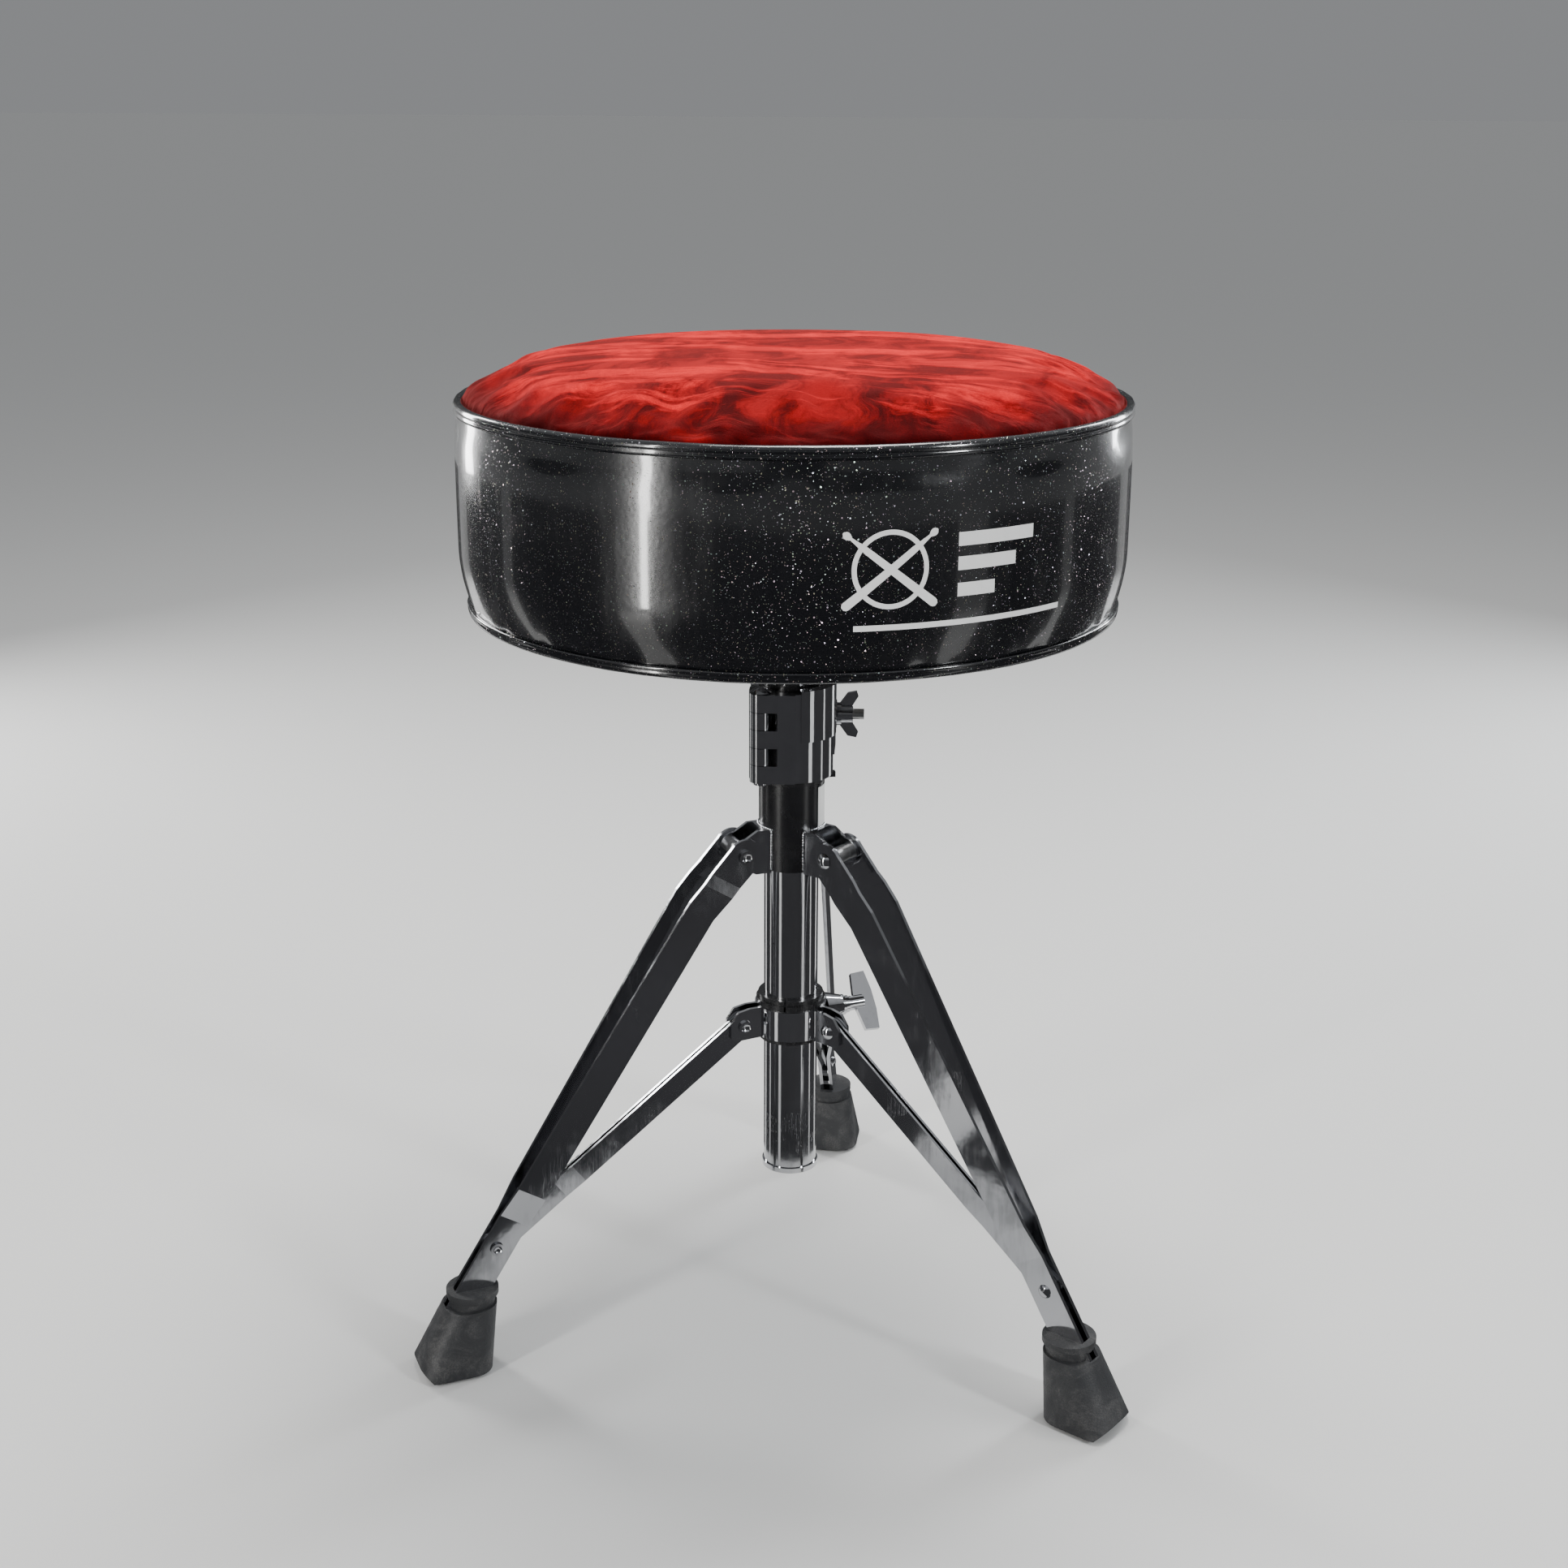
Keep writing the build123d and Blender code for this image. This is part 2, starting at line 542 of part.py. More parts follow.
def foot_socket():
    # Slot that the two bar ends are pressed into
    end = BAR_END_S + 0.5
    outline = [(250, BAR_NEAR_N), (end, BAR_NEAR_N), (end, BAR_FAR_N), (250, BAR_FAR_N)]
    return leg_local(plate(outline, -TOE_HALF_T, TOE_HALF_T))


def make_legs():
    bar = leg_local(make_bar())
    bracket = make_bracket()
    spacer_half = HEAD_HALF_T - BAR_THICK - SIDE_GAP - 2.3
    spacer = across(4.6, -spacer_half, spacer_half, LEG_PIVOT_R, LEG_PIVOT_Z)
    spacer -= across(PIN_R, -20, 20, LEG_PIVOT_R, LEG_PIVOT_Z)
    pin = rivet(HEAD_HALF_T + SIDE_GAP, PIN_R, 4.4, LEG_PIVOT_R, LEG_PIVOT_Z)
    brace = make_brace()
    brace_rivet = make_brace_rivet()
    foot = make_foot()
    for side, azimuth in LEG_AZIMUTH.items():
        save(turned(bracket, azimuth), f"leg_bracket_{side}")
        save(turned(pin, azimuth), f"leg_pivot_rivet_{side}")
        save(turned(spacer, azimuth), f"leg_pivot_spacer_{side}")
        save(turned(bar, azimuth), f"leg_bar_{side}_a")
        save(turned(mirror(bar, about=Plane.XZ), azimuth), f"leg_bar_{side}_b")
        save(turned(brace_rivet, azimuth), f"brace_rivet_{side}")
        save(turned(brace, azimuth), f"brace_{side}")
        save(turned(foot, azimuth), f"foot_{side}")


def make_collar():
    bush = ring(COLLAR_R, TUBE_R + RUN_GAP, COLLAR_BUSH_LOW_Z, COLLAR_BUSH_TOP_Z)
    bush += ring(COLLAR_R + 1.2, COLLAR_R - 1, COLLAR_TOP_Z, 198.4)
    bush -= turned(block(12, 24, -0.6, 0.6, COLLAR_BUSH_LOW_Z - 1, COLLAR_BUSH_TOP_Z + 1), 268)
    save(bush, "collar_bush")

    outer = COLLAR_R + COLLAR_THICK
    ear_in = EAR_HALF_T - COLLAR_THICK
    low, high = COLLAR_LOW_Z, COLLAR_TOP_Z
    outline = [(15, low), (36, low - 1.0), (38.5, low + 1), (38.5, low + 10)]
    outline += [(34, high - 1.5), (27, high), (15, high)]
    for k, name in enumerate(("right", "left", "front")):
        first = -30 + 120 * k
        band = ring(outer, COLLAR_R, low, high) & sector(first + 6, first + 114, 60, low, high)
        near = turned(plate(outline, ear_in, EAR_HALF_T), first)
        far = turned(plate(outline, -EAR_HALF_T, -ear_in), first + 120)
        piece = band + near + far
        piece -= disc(COLLAR_R, low - 3, high + 3)
        for angle in (first, first + 120):
            piece -= turned(across(2.5, -9, 9, COLLAR_PIVOT_R, COLLAR_PIVOT_Z), angle)
        if name == "right":
            piece -= turned(along(4.6, 10, 40, 0, WING_Z), WING_AZIMUTH)
        save(piece, f"collar_plate_{name}")

    pin = rivet(EAR_HALF_T, 2.5, 4.2, COLLAR_PIVOT_R, COLLAR_PIVOT_Z)
    save(Compound([turned(pin, azimuth) for azimuth in LEG_AZIMUTH.values()]), "collar_rivets")

    cone = Cone(9.5, 6.2, 11, rotation=(0, 90, 0))
    boss = Pos(outer + 5.4, 0, WING_Z) * cone + along(4.6, COLLAR_R + 0.2, outer + 2, 0, WING_Z)
    boss -= disc(outer, 150, 220) - along(4.6, 10, 40, 0, WING_Z)
    boss -= along(SCREW_R + RUN_GAP, 10, 40, 0, WING_Z)
    save(turned(boss, WING_AZIMUTH), "collar_boss")

    make_collar_bolt(outer + 10.9)


def make_collar_bolt(boss_end):
    washer = along(6.0, boss_end + 0.1, boss_end + 1.7, 0, WING_Z)
    washer -= along(SCREW_R + RUN_GAP, boss_end - 1, boss_end + 3, 0, WING_Z)
    save(turned(washer, WING_AZIMUTH), "collar_bolt_washer")

    start = boss_end + 1.8
    bolt = along(SCREW_R, COLLAR_R + 0.1, start + 2, 0, WING_Z)
    bolt += along(5.0, start, start + 2.5, 0, WING_Z) + along(4.2, start + 2.5, start + 12, 0, WING_Z)
    outline = [(start + 7, -5), (start + 9, -17.5), (start + 17.5, -18), (start + 19, -6)]
    outline += [(start + 19, 6), (start + 17.5, 18), (start + 9, 17.5), (start + 7, 5)]
    wing = plate([(x, WING_Z + z) for x, z in outline], -1.6, 1.6)
    wing = Pos(0, 0, WING_Z) * Rot(-43, 0, 0) * Pos(0, 0, -WING_Z) * wing
    save(turned(bolt + wing, WING_AZIMUTH), "collar_wing_bolt")


os.makedirs("parts", exist_ok=True)
make_seat()
make_seat_base()
make_seat_socket()
make_column()
make_clamp()
make_legs()
make_collar()
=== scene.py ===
import math

import bpy
import numpy as np
from mathutils import Matrix, Vector
from mathutils.bvhtree import BVHTree


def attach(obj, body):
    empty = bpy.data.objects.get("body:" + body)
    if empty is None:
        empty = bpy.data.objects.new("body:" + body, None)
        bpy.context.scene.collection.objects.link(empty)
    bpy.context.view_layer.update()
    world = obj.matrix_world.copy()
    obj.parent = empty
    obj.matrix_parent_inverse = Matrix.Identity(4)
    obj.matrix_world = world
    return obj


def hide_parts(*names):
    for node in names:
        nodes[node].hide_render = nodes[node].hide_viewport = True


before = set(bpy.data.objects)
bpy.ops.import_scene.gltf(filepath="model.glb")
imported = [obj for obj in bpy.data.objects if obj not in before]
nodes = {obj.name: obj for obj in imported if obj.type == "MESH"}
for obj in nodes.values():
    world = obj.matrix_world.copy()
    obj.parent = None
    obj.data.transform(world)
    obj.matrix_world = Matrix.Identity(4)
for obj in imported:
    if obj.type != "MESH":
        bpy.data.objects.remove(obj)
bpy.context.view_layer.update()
column = np.array([0.0, -0.02443])
print("frame loaded")

view = {
    "place": (0.1569, -1.1619, 0.6962),
    "turn": -8.07,
    "down": 17.87,
    "roll": 0.23,
    "lens": 49.4,
}


def aimCamera():
    turn, down, roll = (math.radians(view[k]) for k in ("turn", "down", "roll"))
    ahead = Vector((math.sin(turn) * math.cos(down), math.cos(turn) * math.cos(down), -math.sin(down)))
    level = Vector((math.cos(turn), -math.sin(turn), 0))
    rise = level.cross(ahead)
    right = level * math.cos(roll) + rise * math.sin(roll)
    up = rise * math.cos(roll) - level * math.sin(roll)
    lensData = bpy.data.cameras.new("camera")
    lensData.lens = view["lens"]
    lensData.sensor_width = 36
    camera = bpy.data.objects.new("camera", lensData)
    bpy.context.scene.collection.objects.link(camera)
    turned = Matrix((right, up, -ahead)).transposed().to_4x4()
    camera.matrix_world = Matrix.Translation(view["place"]) @ turned
    bpy.context.scene.camera = camera


# Each light: where it stands, where it points, how wide and tall it is, its strength and its tint
lights = {
    "leftStrip": {
        "at": (-0.98, -1.27, 0.72),
        "to": (0, -0.02, 0.5),
        "size": (0.1, 1.3),
        "power": 17,
        "tint": (1.0, 0.99, 0.97),
    },
    "rightWindow": {
        "at": (1.36, -0.81, 0.98),
        "to": (0, -0.02, 0.5),
        "size": (0.13, 0.5),
        "power": 14,
        "tint": (0.96, 0.98, 1.0),
    },
    "overhead": {
        "at": (0.15, 0.25, 2.0),
        "to": (0, 0.0, 0.4),
        "size": (0.8, 0.8),
        "power": 36,
        "tint": (1.0, 0.98, 0.96),
    },
    "backRight": {
        "at": (1.1, 1.3, 0.9),
        "to": (0, -0.02, 0.35),
        "size": (0.25, 1.2),
        "power": 22,
        "tint": (0.94, 0.97, 1.0),
    },
    "backLeft": {
        "at": (-1.35, 0.9, 0.8),
        "to": (0, -0.02, 0.3),
        "size": (0.25, 1.2),
        "power": 20,
        "tint": (1.0, 1.0, 1.0),
    },
}


# Dark cards in a ring round the object, each lying on the floor and then standing up. A span is a pair of
# bearings in degrees from straight ahead, with gaps where the lights stand. Only reflections show the
# cards, and they give polished metal its dark bands.
cards = {
    "inner": 0.2,
    "outer": 0.62,
    "height": 0.42,
    "steps": 16,
    "spans": [(-119, -91), (-86, -43), (-33, 55), (65, 96), (101, 135), (146, 229)],
}


def addCards():
    material, tree, shader = newMaterial("darkCard", Roughness=0.9, Specular_IOR_Level=0.1)
    shader.inputs["Base Color"].default_value = (0.03, 0.03, 0.032, 1)
    count = cards["steps"]
    rings = [(cards["inner"], 0.001), (cards["outer"], 0.001), (cards["outer"], cards["height"])]
    for number, (first, last) in enumerate(cards["spans"]):
        bearing = np.radians(np.linspace(first, last, count))
        rows = []
        for radius, height in rings:
            x, y = column[0] + radius * np.sin(bearing), column[1] - radius * np.cos(bearing)
            rows.append(np.stack([x, y, np.full(count, height)], axis=1))
        corners = [row * count + k for row in range(len(rings) - 1) for k in range(count - 1)]
        faces = [(k, k + 1, k + count + 1, k + count) for k in corners]
        card = meshPiece("darkCard" + str(number), np.concatenate(rows), faces, [material])
        card.visible_camera = False
        card.visible_diffuse = False
        card.visible_shadow = False
        card.visible_transmission = False


def addLights():
    for name, facts in lights.items():
        data = bpy.data.lights.new(name, "AREA")
        data.shape = "RECTANGLE"
        data.size, data.size_y = facts["size"]
        data.energy = facts["power"]
        data.color = facts["tint"]
        lamp = bpy.data.objects.new(name, data)
        bpy.context.scene.collection.objects.link(lamp)
        aim = Vector(facts["to"]) - Vector(facts["at"])
        lamp.location = facts["at"]
        lamp.rotation_euler = aim.to_track_quat("-Z", "Y").to_euler()
    # A dim room: dark near the horizon and brighter straight above. Straight to the camera it is one plain
    # grey, as bright as the far floor.
    world = bpy.data.worlds.new("studio")
    world.use_nodes = True
    tree = world.node_tree
    where = tree.nodes.new("ShaderNodeTexCoord").outputs["Generated"]
    parts = addNode(tree, "ShaderNodeSeparateXYZ", links={"Vector": where})
    rise = spanNode(tree, parts.outputs["Z"], 0.05, 0.85, 0.05, 0.55)
    direct = addNode(tree, "ShaderNodeLightPath").outputs["Is Camera Ray"]
    strength = addNode(tree, "ShaderNodeMix", links={0: direct, 2: rise}, values={3: 0.26}).outputs[0]
    sky = tree.nodes["Background"]
    sky.inputs["Color"].default_value = (0.95, 0.97, 1.0, 1)
    tree.links.new(strength, sky.inputs["Strength"])
    bpy.context.scene.world = world


def addNode(tree, kind, links=None, values=None, **settings):
    made = tree.nodes.new(kind)
    for name, value in settings.items():
        setattr(made, name, value)
    for key, value in (values or {}).items():
        made.inputs[key].default_value = value
    for key, source in (links or {}).items():
        tree.links.new(source, made.inputs[key])
    return made


def mathNode(tree, operation, first, second=0.0, third=0.0):
    made = addNode(tree, "ShaderNodeMath", operation=operation)
    for socket, value in zip(made.inputs, (first, second, third)):
        if isinstance(value, (int, float)):
            socket.default_value = value
        else:
            tree.links.new(value, socket)
    return made.outputs[0]


def mixColours(tree, factor, first, second):
    made = addNode(tree, "ShaderNodeMix", data_type="RGBA")
    for socket, value in ((made.inputs[0], factor), (made.inputs[6], first), (made.inputs[7], second)):
        if isinstance(value, (int, float)):
            socket.default_value = value
        elif isinstance(value, tuple):
            socket.default_value = (*value, 1.0) if len(value) == 3 else value
        else:
            tree.links.new(value, socket)
    return made.outputs[2]


def spanNode(tree, value, low, high, outLow=0.0, outHigh=1.0):
    made = addNode(tree, "ShaderNodeMapRange", links={"Value": value}, interpolation_type="SMOOTHSTEP")
    for key, number in (("From Min", low), ("From Max", high), ("To Min", outLow), ("To Max", outHigh)):
        made.inputs[key].default_value = number
    return made.outputs[0]


def noiseNode(tree, where, scale, detail=3.0, rough=0.5, distort=0.0):
    made = addNode(tree, "ShaderNodeTexNoise", links={"Vector": where})
    wanted = {"Scale": scale, "Detail": detail, "Roughness": rough, "Distortion": distort}
    for key, value in wanted.items():
        if isinstance(value, (int, float)):
            made.inputs[key].default_value = value
        else:
            tree.links.new(value, made.inputs[key])
    return made


def newGroup(name, inputs, outputs):
    group = bpy.data.node_groups.new(name, "ShaderNodeTree")
    for label, kind, value in inputs:
        socket = group.interface.new_socket(label, in_out="INPUT", socket_type=kind)
        socket.default_value = value
    for label, kind in outputs:
        group.interface.new_socket(label, in_out="OUTPUT", socket_type=kind)
    entry = group.nodes.new("NodeGroupInput")
    leave = group.nodes.new("NodeGroupOutput")
    where = group.nodes.new("ShaderNodeTexCoord").outputs["Object"]
    return group, entry.outputs, leave.inputs, where


def makeGlitterGroup():
    # Flakes are the small cores of cells in a 3-D cell pattern; each cell has its own tint, size and tilt
    group, given, out, where = newGroup(
        "glitterFlakes",
        [
            ("Cell Scale", "NodeSocketFloat", 900.0),
            ("Flake Share", "NodeSocketFloat", 0.4),
            ("Tilt", "NodeSocketFloat", 0.5),
        ],
        [("Color", "NodeSocketColor"), ("Mask", "NodeSocketFloat"), ("Normal", "NodeSocketVector")],
    )
    cells = addNode(group, "ShaderNodeTexVoronoi", links={"Vector": where, "Scale": given["Cell Scale"]})
    tone = addNode(group, "ShaderNodeSeparateColor", links={"Color": cells.outputs["Color"]})
    chosen = mathNode(group, "LESS_THAN", tone.outputs["Red"], given["Flake Share"])
    reach = mathNode(group, "MULTIPLY_ADD", tone.outputs["Green"], 0.26, 0.1)
    core = mathNode(group, "LESS_THAN", cells.outputs["Distance"], reach)
    mask = mathNode(group, "MULTIPLY", chosen, core)
    tint = addNode(group, "ShaderNodeCombineColor", mode="HSV", values={"Green": 0.4, "Blue": 0.75})
    group.links.new(tone.outputs["Blue"], tint.inputs["Red"])
    pale = mixColours(group, 0.5, tint.outputs[0], (0.62, 0.58, 0.5))
    face = addNode(group, "ShaderNodeNewGeometry").outputs["Normal"]
    offset = addNode(group, "ShaderNodeVectorMath", operation="SUBTRACT", values={1: (0.5, 0.5, 0.5)})
    group.links.new(cells.outputs["Color"], offset.inputs[0])
    lean = mathNode(group, "MULTIPLY", mask, given["Tilt"])
    scaled = addNode(
        group, "ShaderNodeVectorMath", operation="SCALE", links={0: offset.outputs[0], "Scale": lean}
    )
    summed = addNode(
        group, "ShaderNodeVectorMath", operation="ADD", links={0: face, 1: scaled.outputs[0]}
    )
    unit = addNode(group, "ShaderNodeVectorMath", operation="NORMALIZE", links={0: summed.outputs[0]})
    group.links.new(pale, out["Color"])
    group.links.new(mask, out["Mask"])
    group.links.new(unit.outputs[0], out["Normal"])
    return group


def makeSmudgeGroup():
    # Cloudy handling marks and finer wipe streaks, blended into one roughness between the two given limits
    group, given, out, where = newGroup(
        "handlingSmudges",
        [
            ("Cloud Scale", "NodeSocketFloat", 30.0),
            ("Clean", "NodeSocketFloat", 0.08),
            ("Smudged", "NodeSocketFloat", 0.3),
        ],
        [("Roughness", "NodeSocketFloat"), ("Mask", "NodeSocketFloat")],
    )
    cloud = noiseNode(group, where, given["Cloud Scale"], 4.0, 0.6, 0.6).outputs[0]
    stretched = addNode(
        group, "ShaderNodeMapping", links={"Vector": where}, values={"Scale": (9.0, 9.0, 1.0)}
    )
    wipes = noiseNode(group, stretched.outputs[0], given["Cloud Scale"], 3.0, 0.6).outputs[0]
    both = mathNode(group, "MULTIPLY_ADD", wipes, 0.35, mathNode(group, "MULTIPLY", cloud, 0.65))
    mask = spanNode(group, both, 0.45, 0.7)
    gap = mathNode(group, "SUBTRACT", given["Smudged"], given["Clean"])
    group.links.new(mathNode(group, "MULTIPLY_ADD", mask, gap, given["Clean"]), out["Roughness"])
    group.links.new(mask, out["Mask"])
    return group


def makeGrainGroup():
    # A fine pebbled height: small rounded cells softened with noise
    group, given, out, where = newGroup(
        "fineGrain",
        [("Grain Scale", "NodeSocketFloat", 1500.0), ("Depth", "NodeSocketFloat", 1.0)],
        [("Height", "NodeSocketFloat")],
    )
    cells = addNode(
        group,
        "ShaderNodeTexVoronoi",
        feature="SMOOTH_F1",
        links={"Vector": where, "Scale": given["Grain Scale"]},
    )
    soft = noiseNode(group, where, given["Grain Scale"], 2.0, 0.5).outputs[0]
    height = mathNode(group, "MULTIPLY_ADD", soft, 0.5, cells.outputs["Distance"])
    group.links.new(mathNode(group, "MULTIPLY", height, given["Depth"]), out["Height"])
    return group


def makeScratchGroup():
    # Thin bright lines where a strongly stretched noise crosses its middle value, kept only in patches
    group, given, out, where = newGroup(
        "slidingScratches",
        [("Line Scale", "NodeSocketFloat", 60.0), ("Share", "NodeSocketFloat", 0.5)],
        [("Mask", "NodeSocketFloat"), ("Height", "NodeSocketFloat")],
    )
    stretched = addNode(
        group,
        "ShaderNodeMapping",
        links={"Vector": where},
        values={"Scale": (14.0, 14.0, 0.7), "Rotation": (0.05, 0.03, 0.0)},
    )
    lines = noiseNode(group, stretched.outputs[0], given["Line Scale"], 2.0, 0.5, 0.2).outputs[0]
    off = mathNode(group, "ABSOLUTE", mathNode(group, "SUBTRACT", lines, 0.5))
    thin = spanNode(group, off, 0.0, 0.012, 1.0, 0.0)
    patch = noiseNode(group, where, 22.0, 3.0, 0.6).outputs[0]
    kept = mathNode(group, "LESS_THAN", patch, given["Share"])
    mask = mathNode(group, "MULTIPLY", thin, kept)
    group.links.new(mask, out["Mask"])
    group.links.new(mathNode(group, "MULTIPLY", mask, -1.0), out["Height"])
    return group


def makeDustGroup():
    # Pale dust: broad patches broken up by a fine speckle
    group, given, out, where = newGroup(
        "paleDust",
        [("Patch Scale", "NodeSocketFloat", 40.0), ("Amount", "NodeSocketFloat", 0.5)],
        [("Mask", "NodeSocketFloat")],
    )
    broad = noiseNode(group, where, given["Patch Scale"], 5.0, 0.7, 0.8).outputs[0]
    patch = spanNode(group, broad, 0.4, 0.75)
    speck = spanNode(group, noiseNode(group, where, 1400.0, 2.0, 0.6).outputs[0], 0.4, 0.62)
    spread = mathNode(group, "MULTIPLY_ADD", speck, 0.7, 0.3)
    broken = mathNode(group, "MULTIPLY", patch, spread)
    group.links.new(mathNode(group, "MULTIPLY", broken, given["Amount"]), out["Mask"])
    return group


def makePileGroup():
    # Crushed pile: two sets of swept patches with torn edges, laid over each other, and a fine fibre
    # speckle. The patch mask is the pile's own crushed pattern, and where it brightens the velvet's colour
    # it also carries painted sheen
    group, given, out, where = newGroup(
        "crushedPile",
        [("Sweep Scale", "NodeSocketFloat", 13.0), ("Fibre Scale", "NodeSocketFloat", 2200.0)],
        [("Lay and Sheen", "NodeSocketFloat"), ("Fibre", "NodeSocketFloat"), ("Height", "NodeSocketFloat")],
    )
    bend = noiseNode(group, where, 7.0, 3.0, 0.6)
    bent = addNode(
        group, "ShaderNodeVectorMath", operation="MULTIPLY_ADD", values={1: (0.12, 0.07, 0.05)}
    )
    group.links.new(bend.outputs["Color"], bent.inputs[0])
    group.links.new(where, bent.inputs[2])
    swept = addNode(
        group,
        "ShaderNodeMapping",
        links={"Vector": bent.outputs[0]},
        values={"Scale": (0.8, 3.4, 1.4), "Rotation": (0.0, 0.0, 0.22)},
    )
    broad = noiseNode(group, swept.outputs[0], given["Sweep Scale"], 9.0, 0.68, 0.25).outputs[0]
    crossed = addNode(
        group,
        "ShaderNodeMapping",
        links={"Vector": bent.outputs[0]},
        values={"Scale": (3.0, 1.0, 1.0), "Rotation": (0.0, 0.0, -0.42)},
    )
    second = noiseNode(group, crossed.outputs[0], given["Sweep Scale"], 8.0, 0.7, 0.2).outputs[0]
    strokes = spanNode(group, broad, 0.45, 0.56)
    tears = spanNode(group, second, 0.4, 0.6)
    both = mathNode(group, "MULTIPLY_ADD", tears, 0.36, mathNode(group, "MULTIPLY", strokes, 0.64))
    fibre = noiseNode(group, where, given["Fibre Scale"], 2.0, 0.7).outputs[0]
    group.links.new(both, out["Lay and Sheen"])
    group.links.new(fibre, out["Fibre"])
    body = mathNode(group, "MULTIPLY", both, 0.7)
    group.links.new(mathNode(group, "MULTIPLY_ADD", fibre, 0.3, body), out["Height"])
    return group


glitterGroup = makeGlitterGroup()
smudgeGroup = makeSmudgeGroup()
grainGroup = makeGrainGroup()
scratchGroup = makeScratchGroup()
dustGroup = makeDustGroup()
pileGroup = makePileGroup()
print("node groups ready")


def newMaterial(name, **constants):
    material = bpy.data.materials.new(name)
    material.use_nodes = True
    tree = material.node_tree
    shader = tree.nodes["Principled BSDF"]
    for key, value in constants.items():
        shader.inputs[key.replace("_", " ")].default_value = value
    return material, tree, shader


def useGroup(tree, group, **values):
    made = tree.nodes.new("ShaderNodeGroup")
    made.node_tree = group
    for key, value in values.items():
        made.inputs[key.replace("_", " ")].default_value = value
    return made.outputs


def addBump(tree, shader, height, strength, distance, under=None):
    bump = addNode(
        tree,
        "ShaderNodeBump",
        links={"Height": height},
        values={"Strength": strength, "Distance": distance},
    )
    if under is not None:
        tree.links.new(under, bump.inputs["Normal"])
    tree.links.new(bump.outputs[0], shader.inputs["Normal"])


def makeVelvet():
    # Painted shade: the cover's colour is darkened in a ring near the seam, where pile seen face-on looks
    # darker
    material, tree, shader = newMaterial(
        "crushedVelvet", Sheen_Weight=0.36, Sheen_Roughness=0.36, Specular_IOR_Level=0.05
    )
    shader.inputs["Sheen Tint"].default_value = (1.0, 0.11, 0.1, 1)
    pile = useGroup(tree, pileGroup)
    where = addNode(tree, "ShaderNodeTexCoord").outputs["Object"]
    flat = addNode(
        tree,
        "ShaderNodeVectorMath",
        operation="MULTIPLY_ADD",
        links={0: where},
        values={1: (1, 1, 0), 2: (-column[0], -column[1], 0)},
    )
    reach = addNode(tree, "ShaderNodeVectorMath", operation="LENGTH", links={0: flat.outputs[0]})
    torn = noiseNode(tree, where, 38.0, 4.0, 0.6).outputs[0]
    ragged = mathNode(tree, "MULTIPLY_ADD", torn, 0.05, reach.outputs["Value"])
    # Painted shade: this colour factor falls from 1 to 0.1 in a ragged ring out towards the seam
    rim = spanNode(tree, ragged, 0.172, 0.2, 1.0, 0.1)
    layWithSheenAndSeamShade = mathNode(tree, "MULTIPLY", pile["Lay and Sheen"], rim)
    # Painted sheen: the crushed patches get a bright red and the rest a near-black red, standing in for the
    # sheen that flattened pile catches
    deep = mixColours(tree, layWithSheenAndSeamShade, (0.036, 0.0002, 0.0009), (0.7, 0.009, 0.013))
    speck = spanNode(tree, pile["Fibre"], 0.35, 0.7, 0.68, 1.3)
    value = addNode(tree, "ShaderNodeHueSaturation", links={"Color": deep, "Value": speck})
    tree.links.new(value.outputs[0], shader.inputs["Base Color"])
    tree.links.new(spanNode(tree, pile["Lay and Sheen"], 0.0, 1.0, 0.95, 0.72), shader.inputs["Roughness"])
    addBump(tree, shader, pile["Height"], 0.55, 0.0012)
    return material


def makeSparkleVinyl():
    material, tree, shader = newMaterial("sparkleVinyl", Coat_Roughness=0.07, Coat_Weight=0.8, IOR=1.5)
    fine = useGroup(tree, glitterGroup, Cell_Scale=1800.0, Flake_Share=0.2, Tilt=1.1)
    bold = useGroup(tree, glitterGroup, Cell_Scale=820.0, Flake_Share=0.1, Tilt=1.0)
    smudge = useGroup(tree, smudgeGroup, Cloud_Scale=14.0, Clean=0.2, Smudged=0.34)
    both = mathNode(tree, "MAXIMUM", fine["Mask"], bold["Mask"])
    flakes = mixColours(tree, bold["Mask"], fine["Color"], bold["Color"])
    tree.links.new(mixColours(tree, both, (0.0035, 0.0037, 0.005), flakes), shader.inputs["Base Color"])
    tree.links.new(mathNode(tree, "MULTIPLY", both, 0.9), shader.inputs["Metallic"])
    tree.links.new(
        mathNode(tree, "MULTIPLY_ADD", both, 0.1, smudge["Roughness"]), shader.inputs["Roughness"]
    )
    blend = addNode(
        tree,
        "ShaderNodeMix",
        data_type="VECTOR",
        links={0: bold["Mask"], 4: fine["Normal"], 5: bold["Normal"]},
    )
    grain = useGroup(tree, grainGroup, Grain_Scale=420.0, Depth=1.0)
    addBump(tree, shader, grain["Height"], 0.06, 0.0004, under=blend.outputs[1])
    return material


def makeChrome(name, tint, clean, smudged, scratches=0.0, ripple=0.05):
    material, tree, shader = newMaterial(name, Metallic=1.0)
    smudge = useGroup(tree, smudgeGroup, Cloud_Scale=26.0, Clean=clean, Smudged=smudged)
    scratch = useGroup(tree, scratchGroup, Line_Scale=70.0, Share=0.44)
    dull = tuple(c * 0.82 for c in tint)
    tree.links.new(mixColours(tree, smudge["Mask"], tint, dull), shader.inputs["Base Color"])
    worn = mathNode(tree, "MULTIPLY_ADD", scratch["Mask"], scratches, smudge["Roughness"])
    tree.links.new(worn, shader.inputs["Roughness"])
    where = addNode(tree, "ShaderNodeTexCoord").outputs["Object"]
    wave = noiseNode(tree, where, 90.0, 2.0, 0.5).outputs[0]
    height = mathNode(tree, "MULTIPLY_ADD", scratch["Height"], scratches, wave)
    addBump(tree, shader, height, ripple, 0.0006)
    return material


